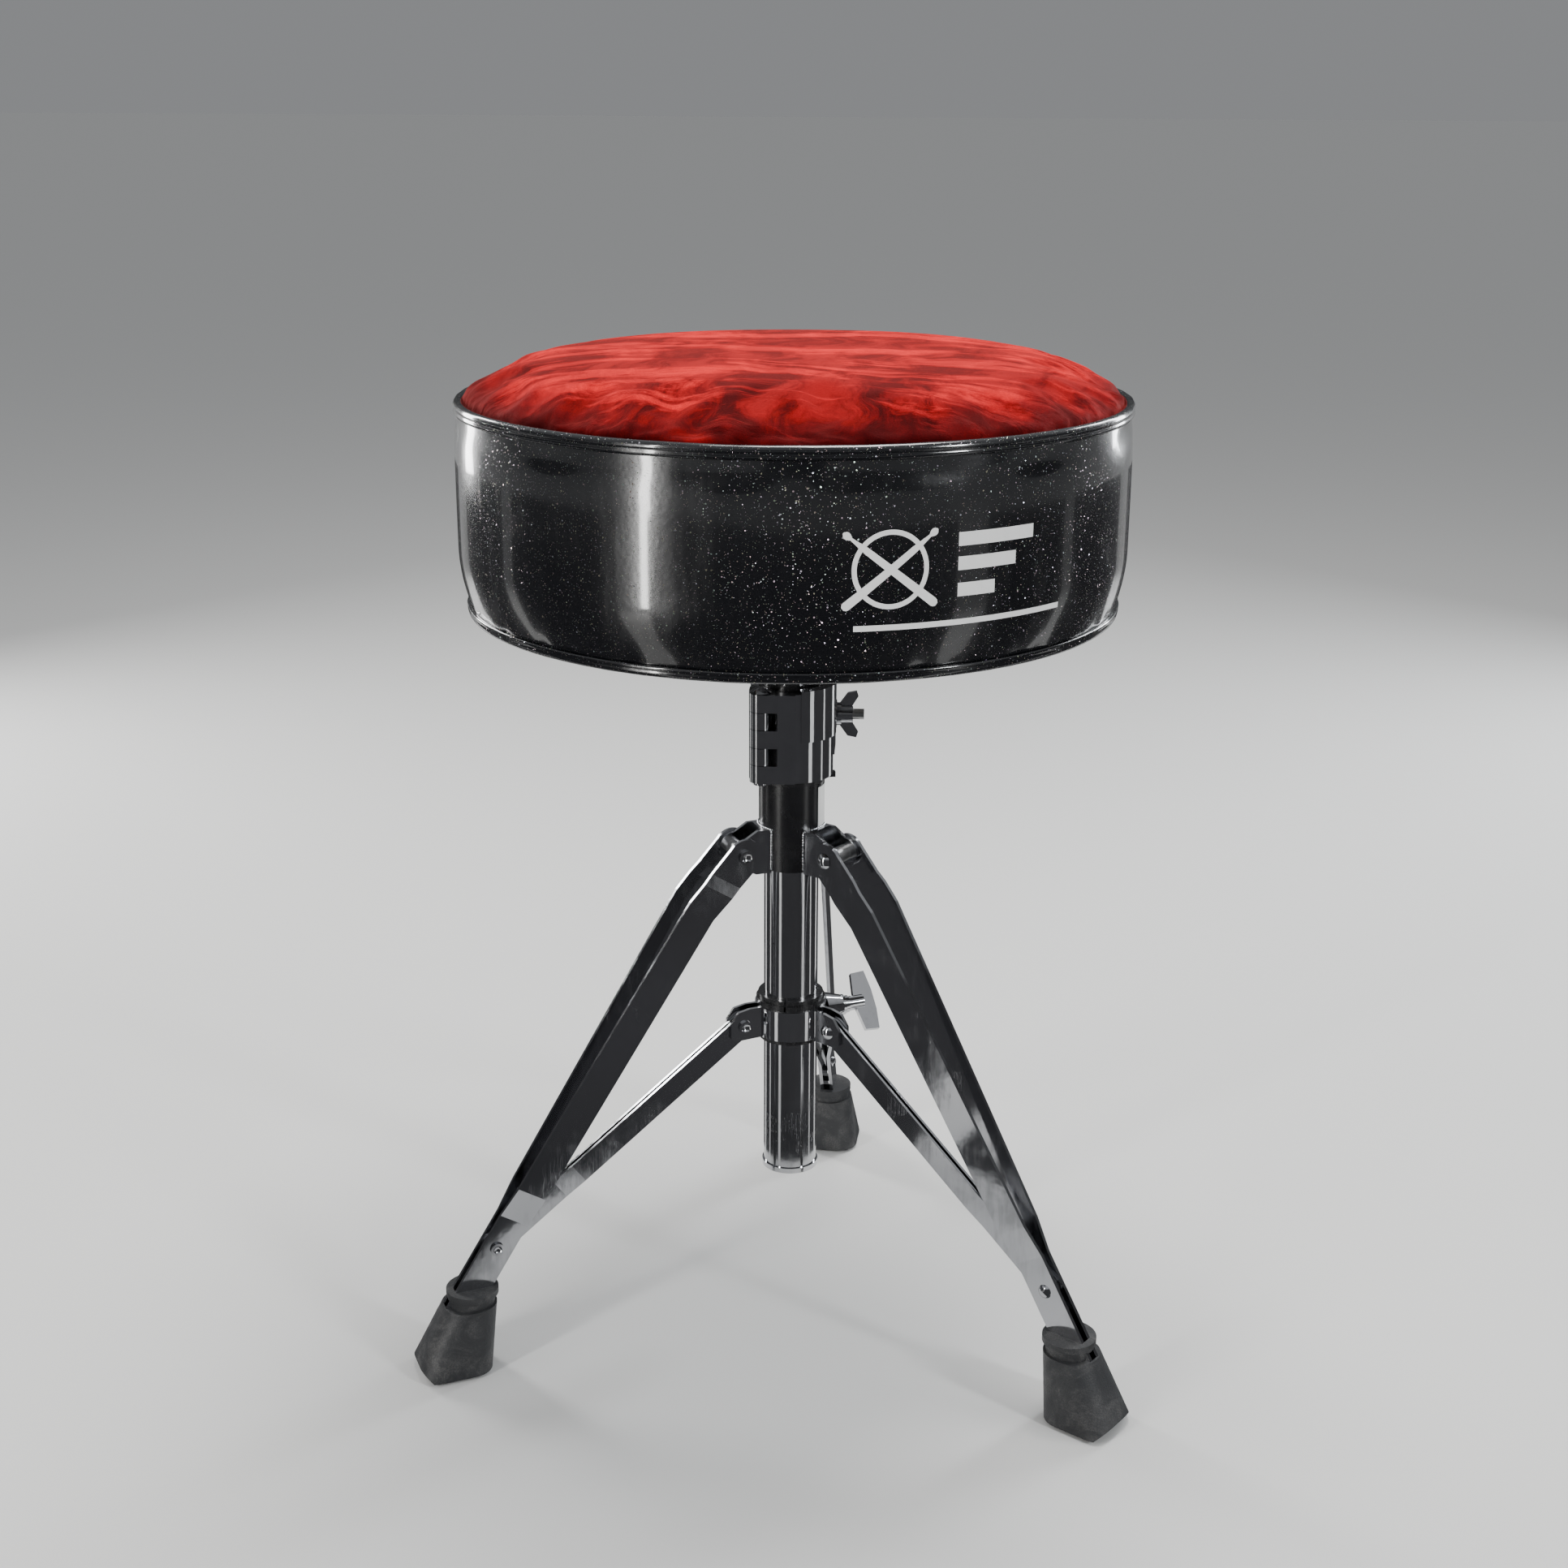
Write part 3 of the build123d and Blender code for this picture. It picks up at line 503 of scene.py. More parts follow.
def makeSatinBlack():
    material, tree, shader = newMaterial("satinBlackPaint", Coat_Roughness=0.22, Coat_Weight=0.4)
    smudge = useGroup(tree, smudgeGroup, Cloud_Scale=34.0, Clean=0.24, Smudged=0.36)
    grain = useGroup(tree, grainGroup, Grain_Scale=1900.0, Depth=1.0)
    dust = useGroup(tree, dustGroup, Patch_Scale=60.0, Amount=0.06)
    tree.links.new(
        mixColours(tree, dust["Mask"], (0.006, 0.006, 0.007), (0.2, 0.195, 0.19)),
        shader.inputs["Base Color"],
    )
    tree.links.new(smudge["Roughness"], shader.inputs["Roughness"])
    addBump(tree, shader, grain["Height"], 0.12, 0.0002)
    return material


def makeNylon():
    material, tree, shader = newMaterial("blackNylon", Specular_IOR_Level=0.55)
    smudge = useGroup(tree, smudgeGroup, Cloud_Scale=60.0, Clean=0.22, Smudged=0.4)
    scratch = useGroup(tree, scratchGroup, Line_Scale=120.0, Share=0.5)
    tree.links.new(
        mixColours(tree, scratch["Mask"], (0.013, 0.013, 0.014), (0.06, 0.06, 0.06)),
        shader.inputs["Base Color"],
    )
    tree.links.new(smudge["Roughness"], shader.inputs["Roughness"])
    addBump(tree, shader, scratch["Height"], 0.15, 0.0002)
    return material


def makeRubber():
    material, tree, shader = newMaterial("footRubber", Specular_IOR_Level=0.35)
    dust = useGroup(tree, dustGroup, Patch_Scale=48.0, Amount=0.5)
    smudge = useGroup(tree, smudgeGroup, Cloud_Scale=50.0, Clean=0.5, Smudged=0.75)
    grain = useGroup(tree, grainGroup, Grain_Scale=1300.0, Depth=1.0)
    tree.links.new(
        mixColours(tree, dust["Mask"], (0.028, 0.029, 0.031), (0.17, 0.165, 0.16)),
        shader.inputs["Base Color"],
    )
    tree.links.new(smudge["Roughness"], shader.inputs["Roughness"])
    addBump(tree, shader, grain["Height"], 0.3, 0.0004)
    return material


def makeCloth(name, dark, light, pitch):
    # Woven cloth: two crossed bands of waves give the threads, one over the other
    material, tree, shader = newMaterial(name, Specular_IOR_Level=0.2)
    where = addNode(tree, "ShaderNodeTexCoord").outputs["Object"]
    waves = []
    for axis in ("X", "Y"):
        wave = addNode(tree, "ShaderNodeTexWave", links={"Vector": where}, bands_direction=axis)
        for key, value in (("Scale", pitch), ("Distortion", 0.6), ("Detail", 1.0)):
            wave.inputs[key].default_value = value
        waves.append(wave.outputs["Fac"])
    weave = mathNode(tree, "MULTIPLY", *waves)
    dust = useGroup(tree, dustGroup, Patch_Scale=20.0, Amount=0.35)
    threads = mixColours(tree, weave, dark, light)
    tree.links.new(
        mixColours(tree, dust["Mask"], threads, (0.25, 0.24, 0.23)), shader.inputs["Base Color"]
    )
    tree.links.new(spanNode(tree, weave, 0.0, 1.0, 0.95, 0.8), shader.inputs["Roughness"])
    addBump(tree, shader, weave, 0.5, 0.0003)
    return material


def makeBoard():
    # Plywood: stretched bent noise for the figure of the face
    material, tree, shader = newMaterial("birchPly", Specular_IOR_Level=0.3)
    where = addNode(tree, "ShaderNodeTexCoord").outputs["Object"]
    run = addNode(tree, "ShaderNodeMapping", links={"Vector": where}, values={"Scale": (1.0, 14.0, 60.0)})
    figure = noiseNode(tree, run.outputs[0], 14.0, 6.0, 0.65, 1.2).outputs[0]
    tree.links.new(
        mixColours(tree, spanNode(tree, figure, 0.35, 0.68), (0.52, 0.35, 0.19), (0.33, 0.19, 0.09)),
        shader.inputs["Base Color"],
    )
    tree.links.new(spanNode(tree, figure, 0.3, 0.7, 0.55, 0.75), shader.inputs["Roughness"])
    addBump(tree, shader, figure, 0.2, 0.0003)
    return material


def makeFoam():
    material, tree, shader = newMaterial("seatFoam", Specular_IOR_Level=0.1)
    grain = useGroup(tree, grainGroup, Grain_Scale=700.0, Depth=1.0)
    tone = spanNode(tree, grain["Height"], 0.3, 1.2)
    tree.links.new(
        mixColours(tree, tone, (0.45, 0.4, 0.26), (0.68, 0.63, 0.46)), shader.inputs["Base Color"]
    )
    tree.links.new(spanNode(tree, grain["Height"], 0.2, 1.2, 0.85, 0.98), shader.inputs["Roughness"])
    addBump(tree, shader, grain["Height"], 0.7, 0.001)
    return material


def makePrint(name, ink, rough):
    material, tree, shader = newMaterial(name, Specular_IOR_Level=0.4)
    wear = useGroup(tree, dustGroup, Patch_Scale=90.0, Amount=0.3)
    smudge = useGroup(tree, smudgeGroup, Cloud_Scale=80.0, Clean=rough, Smudged=rough + 0.15)
    faded = tuple(c * 0.72 for c in ink)
    tree.links.new(mixColours(tree, wear["Mask"], ink, faded), shader.inputs["Base Color"])
    tree.links.new(smudge["Roughness"], shader.inputs["Roughness"])
    return material


velvet = makeVelvet()
sparkle = makeSparkleVinyl()
chrome = makeChrome("polishedChrome", (0.58, 0.585, 0.6), 0.05, 0.13)
tubeChrome = makeChrome("scuffedChrome", (0.5, 0.505, 0.52), 0.07, 0.22, scratches=0.3)
plateChrome = makeChrome("pressedChrome", (0.52, 0.525, 0.545), 0.08, 0.24, scratches=0.12, ripple=0.09)
zinc = makeChrome("zincSteel", (0.56, 0.56, 0.55), 0.28, 0.45, scratches=0.2, ripple=0.12)
castChrome = makeChrome("castSocketMetal", (0.3, 0.3, 0.31), 0.3, 0.5, scratches=0.1, ripple=0.25)
satinBlack = makeSatinBlack()
nylon = makeNylon()
rubber = makeRubber()
underCloth = makeCloth("blackUnderCloth", (0.008, 0.008, 0.009), (0.04, 0.04, 0.043), 320.0)
thread = makeCloth("stitchThread", (0.01, 0.01, 0.012), (0.06, 0.06, 0.065), 900.0)
ply = makeBoard()
foam = makeFoam()
whiteInk = makePrint("whitePrint", (0.78, 0.78, 0.77), 0.35)
stickerPaper = makePrint("whiteSticker", (0.74, 0.74, 0.72), 0.42)
yellowTag = makePrint("yellowTag", (0.62, 0.6, 0.06), 0.4)
print("materials ready")

# Which material each CAD node wears, by the start of its name; the first match counts
finishes = [
    ("base_tube", tubeChrome),
    ("height_tube_bush", nylon),
    ("height_tube", tubeChrome),
    ("tube_end_ring", chrome),
    ("hub_sleeve", satinBlack),
    ("sleeve_label", stickerPaper),
    ("post_guide_bush", nylon),
    ("clamp_jacket", nylon),
    ("clamp_bolt", zinc),
    ("clamp", chrome),
    ("leg_bracket", plateChrome),
    ("leg_pivot_spacer", zinc),
    ("leg_pivot_rivet", chrome),
    ("leg_bar", plateChrome),
    ("brace", plateChrome),
    ("foot", rubber),
    ("collar_bush", nylon),
    ("collar_boss", chrome),
    ("collar", chrome),
    ("seat_board", ply),
    ("foam_cushion", foam),
    ("top_cover", velvet),
    ("side_band", sparkle),
    ("top_piping", sparkle),
    ("bottom_piping", sparkle),
    ("dust_cover_staples", zinc),
    ("dust_cover", underCloth),
    ("seat_socket", castChrome),
    ("socket_screws", zinc),
    ("seat_t_nuts", zinc),
    ("socket_key_bolt", chrome),
]
for name, piece in nodes.items():
    match = next(material for start, material in finishes if name.startswith(start))
    piece.data.materials.clear()
    piece.data.materials.append(match)
print("frame dressed")


def meshPiece(name, points, faces, materials, smooth=True):
    data = bpy.data.meshes.new(name)
    data.from_pydata(
        np.asarray(points, dtype=float).tolist(), [], [tuple(int(i) for i in f) for f in faces]
    )
    data.validate()
    for material in materials:
        data.materials.append(material)
    data.polygons.foreach_set("use_smooth", [smooth] * len(data.polygons))
    data.update()
    piece = bpy.data.objects.new(name, data)
    bpy.context.scene.collection.objects.link(piece)
    return piece


def wrapFaces(rings, steps, closeRings, closeSteps=True):
    # Quads between neighbouring rings of points; ring by ring, step by step
    ringCount = rings if closeRings else rings - 1
    stepCount = steps if closeSteps else steps - 1
    r, s = np.meshgrid(np.arange(ringCount), np.arange(stepCount), indexing="ij")
    nextR, nextS = (r + 1) % rings, (s + 1) % steps
    quads = np.stack(
        [r * steps + s, r * steps + nextS, nextR * steps + nextS, nextR * steps + s], axis=-1
    )
    return quads.reshape(-1, 4)


def wobble(angle, waves):
    # A sum of sines round the seat: each wave is its count, its height and its phase
    return sum(height * np.sin(count * angle + phase) for count, height, phase in waves)


def aroundColumn(radius, height, angle):
    return np.stack(
        [column[0] + radius * np.cos(angle), column[1] + radius * np.sin(angle), height + 0 * angle],
        axis=-1,
    )


cushion = {
    "edge": 0.1752,
    "side": 0.1768,
    "rim": 0.541,
    "crown": 0.0252,
    "floor": 0.4522,
    "inset": 0.0022,
    "voxel": 0.0045,
    "pressure": 3.2,
    "growth": 0.035,
    "steps": 18,
    "cap": 0.0036,
    "pleatReach": 0.013,
}


def pleatWave(angle):
    # Uneven gathers along the seam: three sets of folds, each fading in and out round the seat
    gate = 0.5 + 0.5 * wobble(angle, [(3, 0.7, 0.4), (7, 0.5, 1.9)])
    folds = wobble(angle, [(31, 0.5, 0.2), (47, 0.35, 2.1), (73, 0.25, 4.0)])
    return np.clip(gate, 0.1, 1.3) * folds


def cushionProfile():
    # From the middle of the crown out over the shoulder, down inside the band and back under
    c = cushion
    edge = c["edge"] - 0.4 * c["inset"]
    turn = np.pi / 2 * np.linspace(0, 1, 54) ** 1.5
    over = np.stack(
        [edge * np.sqrt(np.sin(turn)), c["rim"] - c["inset"] + c["crown"] * np.cos(turn)], axis=1
    )
    down = np.stack(
        [np.full(12, edge - 0.0004), np.linspace(c["rim"] - 0.006, c["floor"] + 0.004, 12)], axis=1
    )
    under = np.stack([np.linspace(edge - 0.005, 0.0, 24), np.full(24, c["floor"])], axis=1)
    return np.concatenate([over, down, under])


def revolved(name, profile, steps, materials):
    # A closed form on the column axis: the profile's first and last points are poles
    angle = np.linspace(0, 2 * np.pi, steps, endpoint=False)
    rows = profile[1:-1]
    grid = aroundColumn(rows[:, 0:1], rows[:, 1:2], angle[None, :])
    points = grid.reshape(-1, 3)
    top = [[*column, profile[0, 1]]]
    base = [[*column, profile[-1, 1]]]
    points = np.concatenate([points, top, base])
    quads = wrapFaces(len(rows), steps, False)[:, ::-1]
    k = np.arange(steps)
    topFan = np.stack([k, (k + 1) % steps, np.full(steps, len(points) - 2)], axis=1)
    last = (len(rows) - 1) * steps
    baseFan = np.stack([last + (k + 1) % steps, last + k, np.full(steps, len(points) - 1)], axis=1)
    return meshPiece(name, points, [*quads, *topFan, *baseFan], materials)


def readPoints(mesh):
    flat = np.empty(len(mesh.vertices) * 3)
    mesh.vertices.foreach_get("co", flat)
    return flat.reshape(-1, 3)


def writePoints(mesh, points):
    mesh.vertices.foreach_set("co", np.ascontiguousarray(points).ravel())
    mesh.update()


def fromAxis(points):
    flat = points[:, :2] - column
    return np.hypot(flat[:, 0], flat[:, 1]), np.arctan2(flat[:, 1], flat[:, 0])


def bakeModifiers(piece):
    graph = bpy.context.evaluated_depsgraph_get()
    finished = bpy.data.meshes.new_from_object(piece.evaluated_get(graph))
    piece.modifiers.clear()
    piece.data = finished


def blowUp(piece):
    # The cover is cut a little too large, held at its seam, and blown out by the foam's pressure
    c = cushion
    remesh = piece.modifiers.new("remesh", "REMESH")
    remesh.mode = "VOXEL"
    remesh.voxel_size = c["voxel"]
    bakeModifiers(piece)
    start = readPoints(piece.data)
    free = start[:, 2] > c["rim"] + 0.001
    held = piece.vertex_groups.new(name="held")
    held.add([int(i) for i in np.nonzero(~free)[0]], 1.0, "ADD")
    cloth = piece.modifiers.new("cloth", "CLOTH")
    settings = cloth.settings
    settings.quality = 6
    settings.mass = 0.25
    settings.tension_stiffness = 18
    settings.compression_stiffness = 18
    settings.shear_stiffness = 6
    settings.bending_stiffness = 0.25
    settings.use_pressure = True
    settings.uniform_pressure_force = c["pressure"]
    settings.shrink_min = -c["growth"]
    settings.vertex_group_mass = "held"
    settings.effector_weights.gravity = 0
    cloth.point_cache.frame_start = 1
    cloth.point_cache.frame_end = c["steps"]
    for step in range(1, c["steps"] + 1):
        bpy.context.scene.frame_set(step)
    bakeModifiers(piece)
    bpy.context.scene.frame_set(1)
    moved = readPoints(piece.data) - start
    far = np.linalg.norm(moved, axis=1, keepdims=True)
    writePoints(piece.data, start + moved * np.minimum(1, c["cap"] / np.maximum(far, 1e-9)))
    print("cushion moved up to", round(float(far.max()) * 1000, 2), "mm before the cap")


def makeCushion():
    c = cushion
    piece = revolved("velvetCushion", cushionProfile(), 200, [velvet, foam])
    blowUp(piece)
    smooth = piece.modifiers.new("smooth", "SUBSURF")
    smooth.levels = smooth.render_levels = 1
    bakeModifiers(piece)
    points = readPoints(piece.data)
    radius, angle = fromAxis(points)
    near = np.exp(-np.clip(c["edge"] - radius, 0, None) / c["pleatReach"])
    onTop = points[:, 2] > c["rim"] - 0.004
    dent = 0.0007 * near * pleatWave(angle) * onTop
    outwards = np.clip(radius / c["edge"], 0, 1) ** 2
    swell = 0.0011 * wobble(angle, [(2, 0.5, 0.7), (5, 0.35, 2.6)]) * outwards
    hollow = 0.0012 * np.exp(-((points[:, 0] - 0.05) ** 2 + (points[:, 1] + 0.05) ** 2) / 0.004)
    points[:, 2] += np.where(onTop, dent + swell * (1 - near) - hollow, 0)
    writePoints(piece.data, points)
    count = len(piece.data.polygons)
    middles = np.empty(count * 3)
    piece.data.polygons.foreach_get("center", middles)
    heights = middles.reshape(-1, 3)[:, 2]
    piece.data.materials.clear()
    for material in (velvet, foam):
        piece.data.materials.append(material)
    piece.data.polygons.foreach_set("material_index", (heights < c["rim"] - 0.008).astype(np.int32))
    piece.data.polygons.foreach_set("use_smooth", [True] * count)
    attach(piece, "seat")
    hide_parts("top_cover", "foam_cushion")


makeCushion()
print("cushion done")

band = {
    "topR": 0.1771,
    "fullR": 0.1788,
    "lowR": 0.1732,
    "topZ": 0.5385,
    "lowZ": 0.4361,
    "thick": 0.0014,
    "joint": math.radians(96),
    "jointHalf": 0.03,
    "stitchPitch": 0.0042,
}


def bandRadius(height):
    # Nearly straight side: eases in under the top seam and tucks in towards the bottom seam
    b = band
    up = np.clip((b["topZ"] - height) / 0.026, 0, 1)
    down = np.clip((height - b["lowZ"]) / 0.03, 0, 1)
    top = b["topR"] + (b["fullR"] - b["topR"]) * np.sin(up * np.pi / 2)
    low = b["lowR"] + (b["fullR"] - b["lowR"]) * np.sin(down * np.pi / 2) ** 0.8
    return np.minimum(top, low)


def bandRelief(height, angle):
    # Foam ripples under the vinyl, soft puckers hanging from the top seam, and the lapped joint at the back
    b = band
    fall = b["topZ"] - height
    up = np.clip((height - b["lowZ"]) / 0.1, 0, 1)
    ripple = 0.00035 * wobble(angle, [(4, 0.6, 0.3), (9, 0.4, 1.2)]) * np.sin(np.pi * up)
    pull = wobble(angle, [(13, 0.6, 0.8), (22, 0.4, 2.2)]) - 0.6
    pucker = 0.0005 * np.exp(-((fall - 0.008) / 0.006) ** 2) * pull
    lowEdge = np.exp(-np.clip(height - b["lowZ"], 0, None) / 0.006)
    tuck = 0.0004 * lowEdge * wobble(angle, [(37, 0.6, 0.1), (61, 0.4, 1.3)])
    away = np.angle(np.exp(1j * (angle - b["joint"])))
    lap = 0.0009 / (1 + np.exp(-(b["jointHalf"] - np.abs(away)) / 0.0012))
    groove = -0.0006 * np.exp(-((np.abs(away) - b["jointHalf"] * 0.72) / 0.0035) ** 2)
    return ripple + pucker + tuck + lap + groove


def makeBand():
    b = band
    steps = 720
    angle = np.linspace(0, 2 * np.pi, steps, endpoint=False)[None, :]
    outZ = np.linspace(b["topZ"] + 0.001, b["lowZ"] - 0.0008, 58)[:, None]
    inZ = outZ[::-3]
    outer = aroundColumn(bandRadius(outZ) + bandRelief(outZ, angle), outZ, angle)
    inner = aroundColumn(bandRadius(inZ) - b["thick"] + 0 * angle, inZ, angle)
    grid = np.concatenate([outer, inner])
    piece = meshPiece(
        "vinylBand", grid.reshape(-1, 3), wrapFaces(len(grid), steps, True)[:, ::-1], [sparkle]
    )
    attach(piece, "seat")
    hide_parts("side_band")


makeBand()


def roundedProfile(centre, radii, count, lobes):
    # A closed outline round a centre; each lobe adds a bump or a nick at one direction
    turn = np.linspace(0, 2 * np.pi, count, endpoint=False)
    reach = np.full(count, radii)
    for direction, width, height in lobes:
        away = np.angle(np.exp(1j * (turn - math.radians(direction))))
        reach = reach + height * np.exp(-(away / math.radians(width)) ** 2)
    return np.stack([centre[0] + reach * np.cos(turn), centre[1] + reach * np.sin(turn)], axis=1)


# Each piping: the middle of its cord, the cord's radius, and the bumps and nicks of its outline
pipings = {
    "topPiping": {
        "node": "top_piping",
        "centre": (0.1763, 0.5409),
        "radius": 0.0027,
        "lobes": [(-62, 24, 0.0019), (-28, 11, -0.0006)],
    },
    "bottomPiping": {
        "node": "bottom_piping",
        "centre": (0.1728, 0.4335),
        "radius": 0.0026,
        "lobes": [(48, 22, 0.0012), (18, 10, -0.0004)],
    },
}


def makePipings():
    steps = 640
    angle = np.linspace(0, 2 * np.pi, steps, endpoint=False)[None, :]
    away = np.angle(np.exp(1j * (angle - band["joint"])))
    lap = 0.0005 * np.exp(-(away / 0.02) ** 2)
    for name, facts in pipings.items():
        outline = roundedProfile(facts["centre"], facts["radius"], 28, facts["lobes"])
        sway = 0.00022 * wobble(angle, [(5, 0.6, 1.1), (17, 0.4, 0.2), (53, 0.25, 2.0)])
        grid = aroundColumn(outline[:, 0:1] + sway + lap, outline[:, 1:2] + 0.6 * sway, angle)
        piece = meshPiece(name, grid.reshape(-1, 3), wrapFaces(len(grid), steps, True), [sparkle])
        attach(piece, "seat")
        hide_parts(facts["node"])


makePipings()
print("band and pipings done")


def tubeAlong(paths, radius, sides):
    # A round cord carried along each path: rings square to the path, ends closed. The radius is one
    # number, or one for each point of a path.
    points, faces = [], []
    turn = np.linspace(0, 2 * np.pi, sides, endpoint=False)
    for path in paths:
        path = np.asarray(path, dtype=float)
        ahead = np.gradient(path, axis=0)
        ahead /= np.linalg.norm(ahead, axis=1, keepdims=True)
        guide = np.where(np.abs(ahead[:, 2:3]) > 0.9, [[1.0, 0, 0]], [[0, 0, 1.0]])
        first = np.cross(guide, ahead)
        first /= np.linalg.norm(first, axis=1, keepdims=True)
        second = np.cross(ahead, first)
        size = np.ones(len(path)) * radius
        size[[0, -1]] *= 0.45
        ring = path[:, None] + size[:, None, None] * (
            first[:, None] * np.cos(turn)[None, :, None] + second[:, None] * np.sin(turn)[None, :, None]
        )
        offset = sum(len(p) for p in points)
        faces.extend((wrapFaces(len(path), sides, False) + offset).tolist())
        faces.append([offset + k for k in range(sides)][::-1])
        faces.append([offset + (len(path) - 1) * sides + k for k in range(sides)])
        points.append(ring.reshape(-1, 3))
    return np.concatenate(points), faces


def onBand(angle, height, lift):
    radius = bandRadius(height) + bandRelief(height, angle) + lift
    return aroundColumn(radius, height, angle)


def makeBandStitches():
    # Two rows of short stitches beside the joint at the back
    b = band
    paths = []
    for side in (-1, 1):
        angle = b["joint"] + side * b["jointHalf"] * 0.72
        for low in np.arange(b["lowZ"] + 0.004, b["topZ"] - 0.006, b["stitchPitch"]):
            height = low + np.linspace(0, b["stitchPitch"] * 0.74, 5)
            lift = 0.00035 * np.sin(np.linspace(0, np.pi, 5)) + 0.00005
            paths.append(onBand(np.full(5, angle), height, lift))
    points, faces = tubeAlong(paths, 0.0004, 6)
    piece = meshPiece("bandStitches", points, faces, [thread])
    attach(piece, "seat")


makeBandStitches()

# A plain printed mark: two crossed sticks in a ring, with stripes beside and below it
mark = {
    "middle": (math.radians(292.5), 0.486),
    "ring": 0.0175,
    "ringWidth": 0.0024,
    "stickReach": 0.029,
    "stickWidth": 0.0044,
    "stripeStart": 0.034,
    "stripes": [(0.012, 0.0065, 0.108), (0.0005, 0.0065, 0.093), (-0.012, 0.0065, 0.076)],
    "underline": (-0.0275, 0.0028, 0.137),
    "lift": 0.00022,
}


def printStrip(path, widths, lift):
    # A flat ribbon laid on the band: path across and up in metres, with a width at each point
    path = np.asarray(path, dtype=float)
    ahead = np.gradient(path, axis=0)
    ahead /= np.linalg.norm(ahead, axis=1, keepdims=True)
    aside = np.stack([-ahead[:, 1], ahead[:, 0]], axis=1)
    rows = np.linspace(-0.5, 0.5, 7)[:, None, None]
    flat = path[None] + rows * np.asarray(widths)[None, :, None] * aside[None]
    angle = mark["middle"][0] + flat[..., 0] / band["fullR"]
    height = mark["middle"][1] + flat[..., 1]
    return onBand(angle, height, lift)


def makeMark():
    m = mark
    strips = []
    turn = np.linspace(0, 2 * np.pi, 97)
    circle = np.stack([m["ring"] * np.cos(turn), m["ring"] * np.sin(turn)], axis=1)
    strips.append(printStrip(circle, np.full(97, m["ringWidth"]), m["lift"]))
    share = np.linspace(-1, 1, 60)
    taper = m["stickWidth"] * np.interp(
        share,
        [-1, -0.98, -0.93, 0.5, 0.84, 0.88, 0.93, 0.98, 1.0],
        [0.4, 0.8, 1, 0.75, 0.3, 0.75, 0.85, 0.6, 0.1],
    )
    for k, lean in enumerate((math.radians(38), math.radians(142))):
        path = share[:, None] * m["stickReach"] * np.array([[math.cos(lean), math.sin(lean)]])
        strips.append(printStrip(path, taper, m["lift"] * (1.35 + 0.35 * k)))
    for height, width, end in (*m["stripes"], m["underline"]):
        first = m["stripeStart"] if width > 0.003 else -m["ring"]
        across = np.linspace(first, end * 0.72, 90)
        path = np.stack([across, np.full(90, height)], axis=1)
        strips.append(printStrip(path, np.full(90, width), m["lift"]))
    points, faces, offset = [], [], 0
    for strip in strips:
        rows, steps = strip.shape[:2]
        points.append(strip.reshape(-1, 3))
        faces.extend((wrapFaces(rows, steps, False, False)[:, ::-1] + offset).tolist())
        offset += rows * steps
    piece = meshPiece("sidePrint", np.concatenate(points), faces, [whiteInk])
    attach(piece, "seat")


makeMark()
print("side print done")

sheet = {
    "rim": 0.1698,
    "square": 0.0483,
    "height": 0.4348,
    "thick": 0.0007,
    "sag": 0.0016,
    "staples": 24,
    "staple": 0.1612,
}


def makeUnderSheet():
    # Cloth under the board: sags between its staples, pleats at its rim, and is cut square round the socket
    s = sheet
    steps, rings = 480, 44
    angle = np.linspace(0, 2 * np.pi, steps, endpoint=False)[None, :]
    inner = s["square"] / np.maximum(np.abs(np.cos(angle)), np.abs(np.sin(angle)))
    share = np.linspace(0, 1, rings)[:, None]
    radius = inner + (s["rim"] - inner) * share
    between = 0.5 - 0.5 * np.cos(s["staples"] * (angle - math.radians(7.5 + 90)))
    loose = 0.75 + 0.25 * wobble(angle, [(3, 0.8, 0.5), (8, 0.5, 1.4)])
    slack = np.sin(np.pi * share) * s["sag"] * loose
    edgePull = 0.0009 * between * np.exp(-((radius - s["rim"]) / 0.016) ** 2)
    crease = 0.00035 * np.sin(s["staples"] * 2 * angle + 9 * share) * share ** 3
    clear = 1 - np.exp(-((radius - s["staple"]) / 0.006) ** 2)
    height = s["height"] - slack - edgePull + crease * clear
    low = aroundColumn(radius, height, angle)
    high = aroundColumn(radius, height + s["thick"], angle)[::-1]
    grid = np.concatenate([low, high])
    piece = meshPiece(
        "underSheet", grid.reshape(-1, 3), wrapFaces(len(grid), steps, True)[:, ::-1], [underCloth]
    )
    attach(piece, "seat")
    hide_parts("dust_cover")


makeUnderSheet()

# Weld beads at the leg brackets, in metres and degrees from the column's axis
weld = {
    "radius": 0.01865,
    "bead": 0.00085,
    "pitch": 0.0017,
    "low": 0.2806,
    "high": 0.3037,
    "reach": 31.3,
    "sides": (90, 210, 330),
}


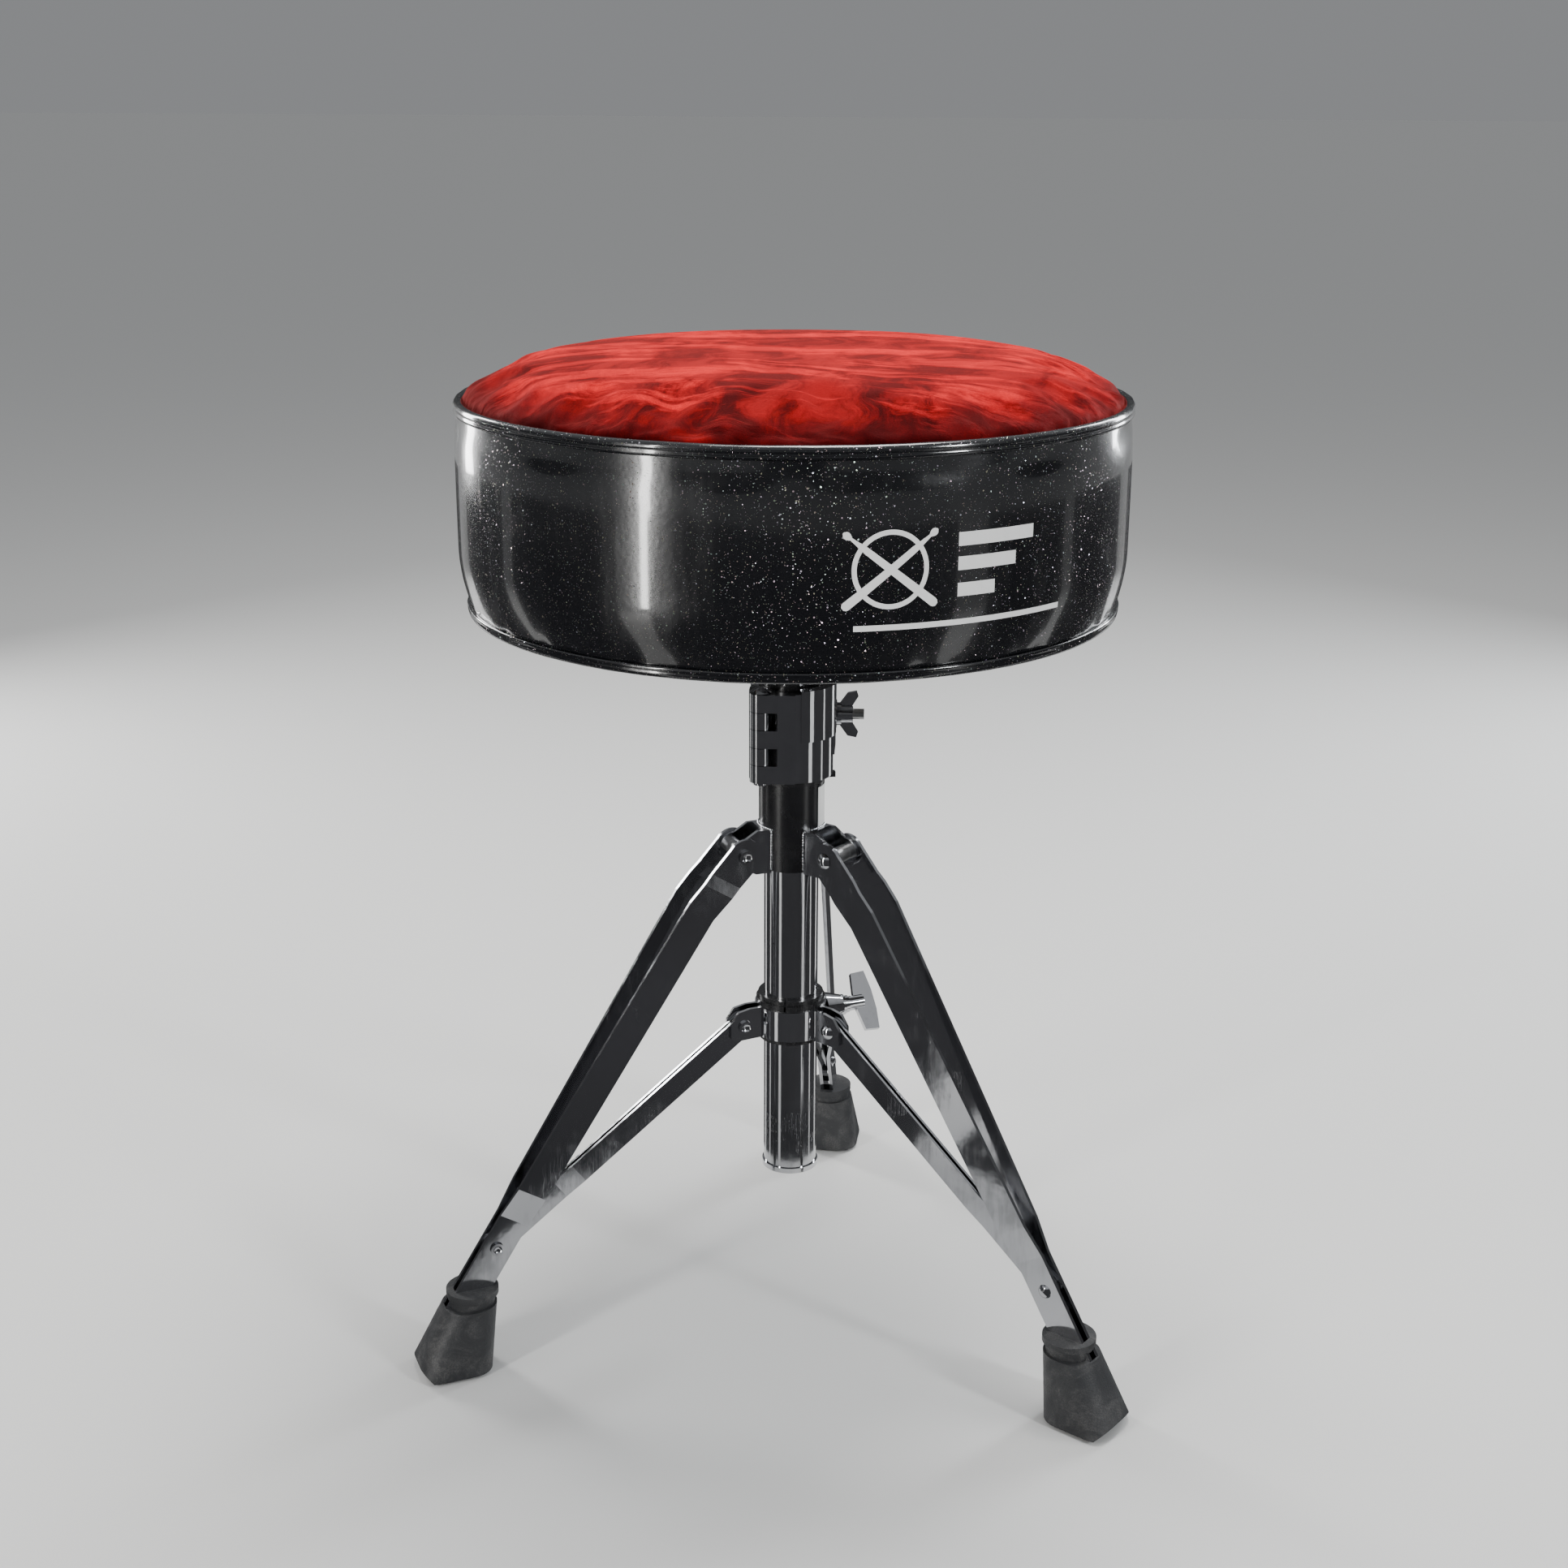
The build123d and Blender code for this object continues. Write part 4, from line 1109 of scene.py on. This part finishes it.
def makeWelds():
    # One beaded line up one root of each bracket, over its top and down the other root
    w = weld
    reach = math.radians(w["reach"])
    upright, across = 70, 60
    over = np.linspace(-reach, reach, across + 2)[1:-1]
    turn = np.concatenate([np.full(upright, -reach), over, np.full(upright, reach)])
    rise = np.linspace(w["low"], w["high"], upright)
    height = np.concatenate([rise, np.full(across, w["high"]), rise[::-1]])
    paths = []
    for number, side in enumerate(w["sides"]):
        sway = 0.00025 * np.sin(np.linspace(0, 23, len(turn)) + number)
        paths.append(aroundColumn(w["radius"], height + sway, turn + math.radians(side)))
    run = np.concatenate([[0], np.cumsum(np.linalg.norm(np.diff(paths[0], axis=0), axis=1))])
    size = w["bead"] * (0.78 + 0.34 * np.abs(np.sin(np.pi * run / w["pitch"])))
    points, faces = tubeAlong(paths, size, 10)
    piece = meshPiece("bracketWelds", points, faces, [plateChrome])
    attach(piece, "base")


makeWelds()
print("welds done")

tag = {
    "azimuth": math.radians(210),
    "width": 0.0095,
    "low": 0.0135,
    "high": 0.0335,
    "turn": math.radians(-62),
    "footR": 0.2035,
    "lift": 0.0002,
    "tall": 9,
    "across": 7,
}


def footTree():
    data = nodes["foot_front_left"].data
    return BVHTree.FromPolygons([v.co for v in data.vertices], [tuple(p.vertices) for p in data.polygons])


def makeFootTag():
    # A small leftover tag stuck low on the outer side of the front left foot
    t = tag
    heights = np.linspace(t["low"], t["high"], t["tall"])
    widths = t["width"] * np.linspace(0.35, 1.0, t["tall"])
    outward = np.array([math.cos(t["azimuth"] + t["turn"]), math.sin(t["azimuth"] + t["turn"])])
    aside = np.array([-outward[1], outward[0]])
    middle = column + t["footR"] * np.array([math.cos(t["azimuth"]), math.sin(t["azimuth"])])
    tree = footTree()
    grid = []
    for height, width in zip(heights, widths):
        for across in np.linspace(-0.5, 0.5, t["across"]):
            start = middle + outward * 0.06 + aside * across * width
            hit = tree.ray_cast(Vector((*start, height)), Vector((*(-outward), 0.0)))[0]
            grid.append([hit.x + outward[0] * t["lift"], hit.y + outward[1] * t["lift"], hit.z])
    piece = meshPiece("footTag", grid, wrapFaces(t["tall"], t["across"], False, False), [yellowTag])
    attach(piece, "leg_front_left")


makeFootTag()
print("underside and tag done")


def makeFloor():
    material, tree, shader = newMaterial("paleFloor", Specular_IOR_Level=0.2, Roughness=0.85)
    shader.inputs["Base Color"].default_value = (0.62, 0.62, 0.61, 1)
    reach = 60.0
    points = [[-reach, -reach, 0], [reach, -reach, 0], [reach, reach, 0], [-reach, reach, 0]]
    piece = meshPiece("studioFloor", points, [(0, 1, 2, 3)], [material])


makeFloor()
aimCamera()
addCards()
addLights()
bpy.context.view_layer.update()
print("scene ready")
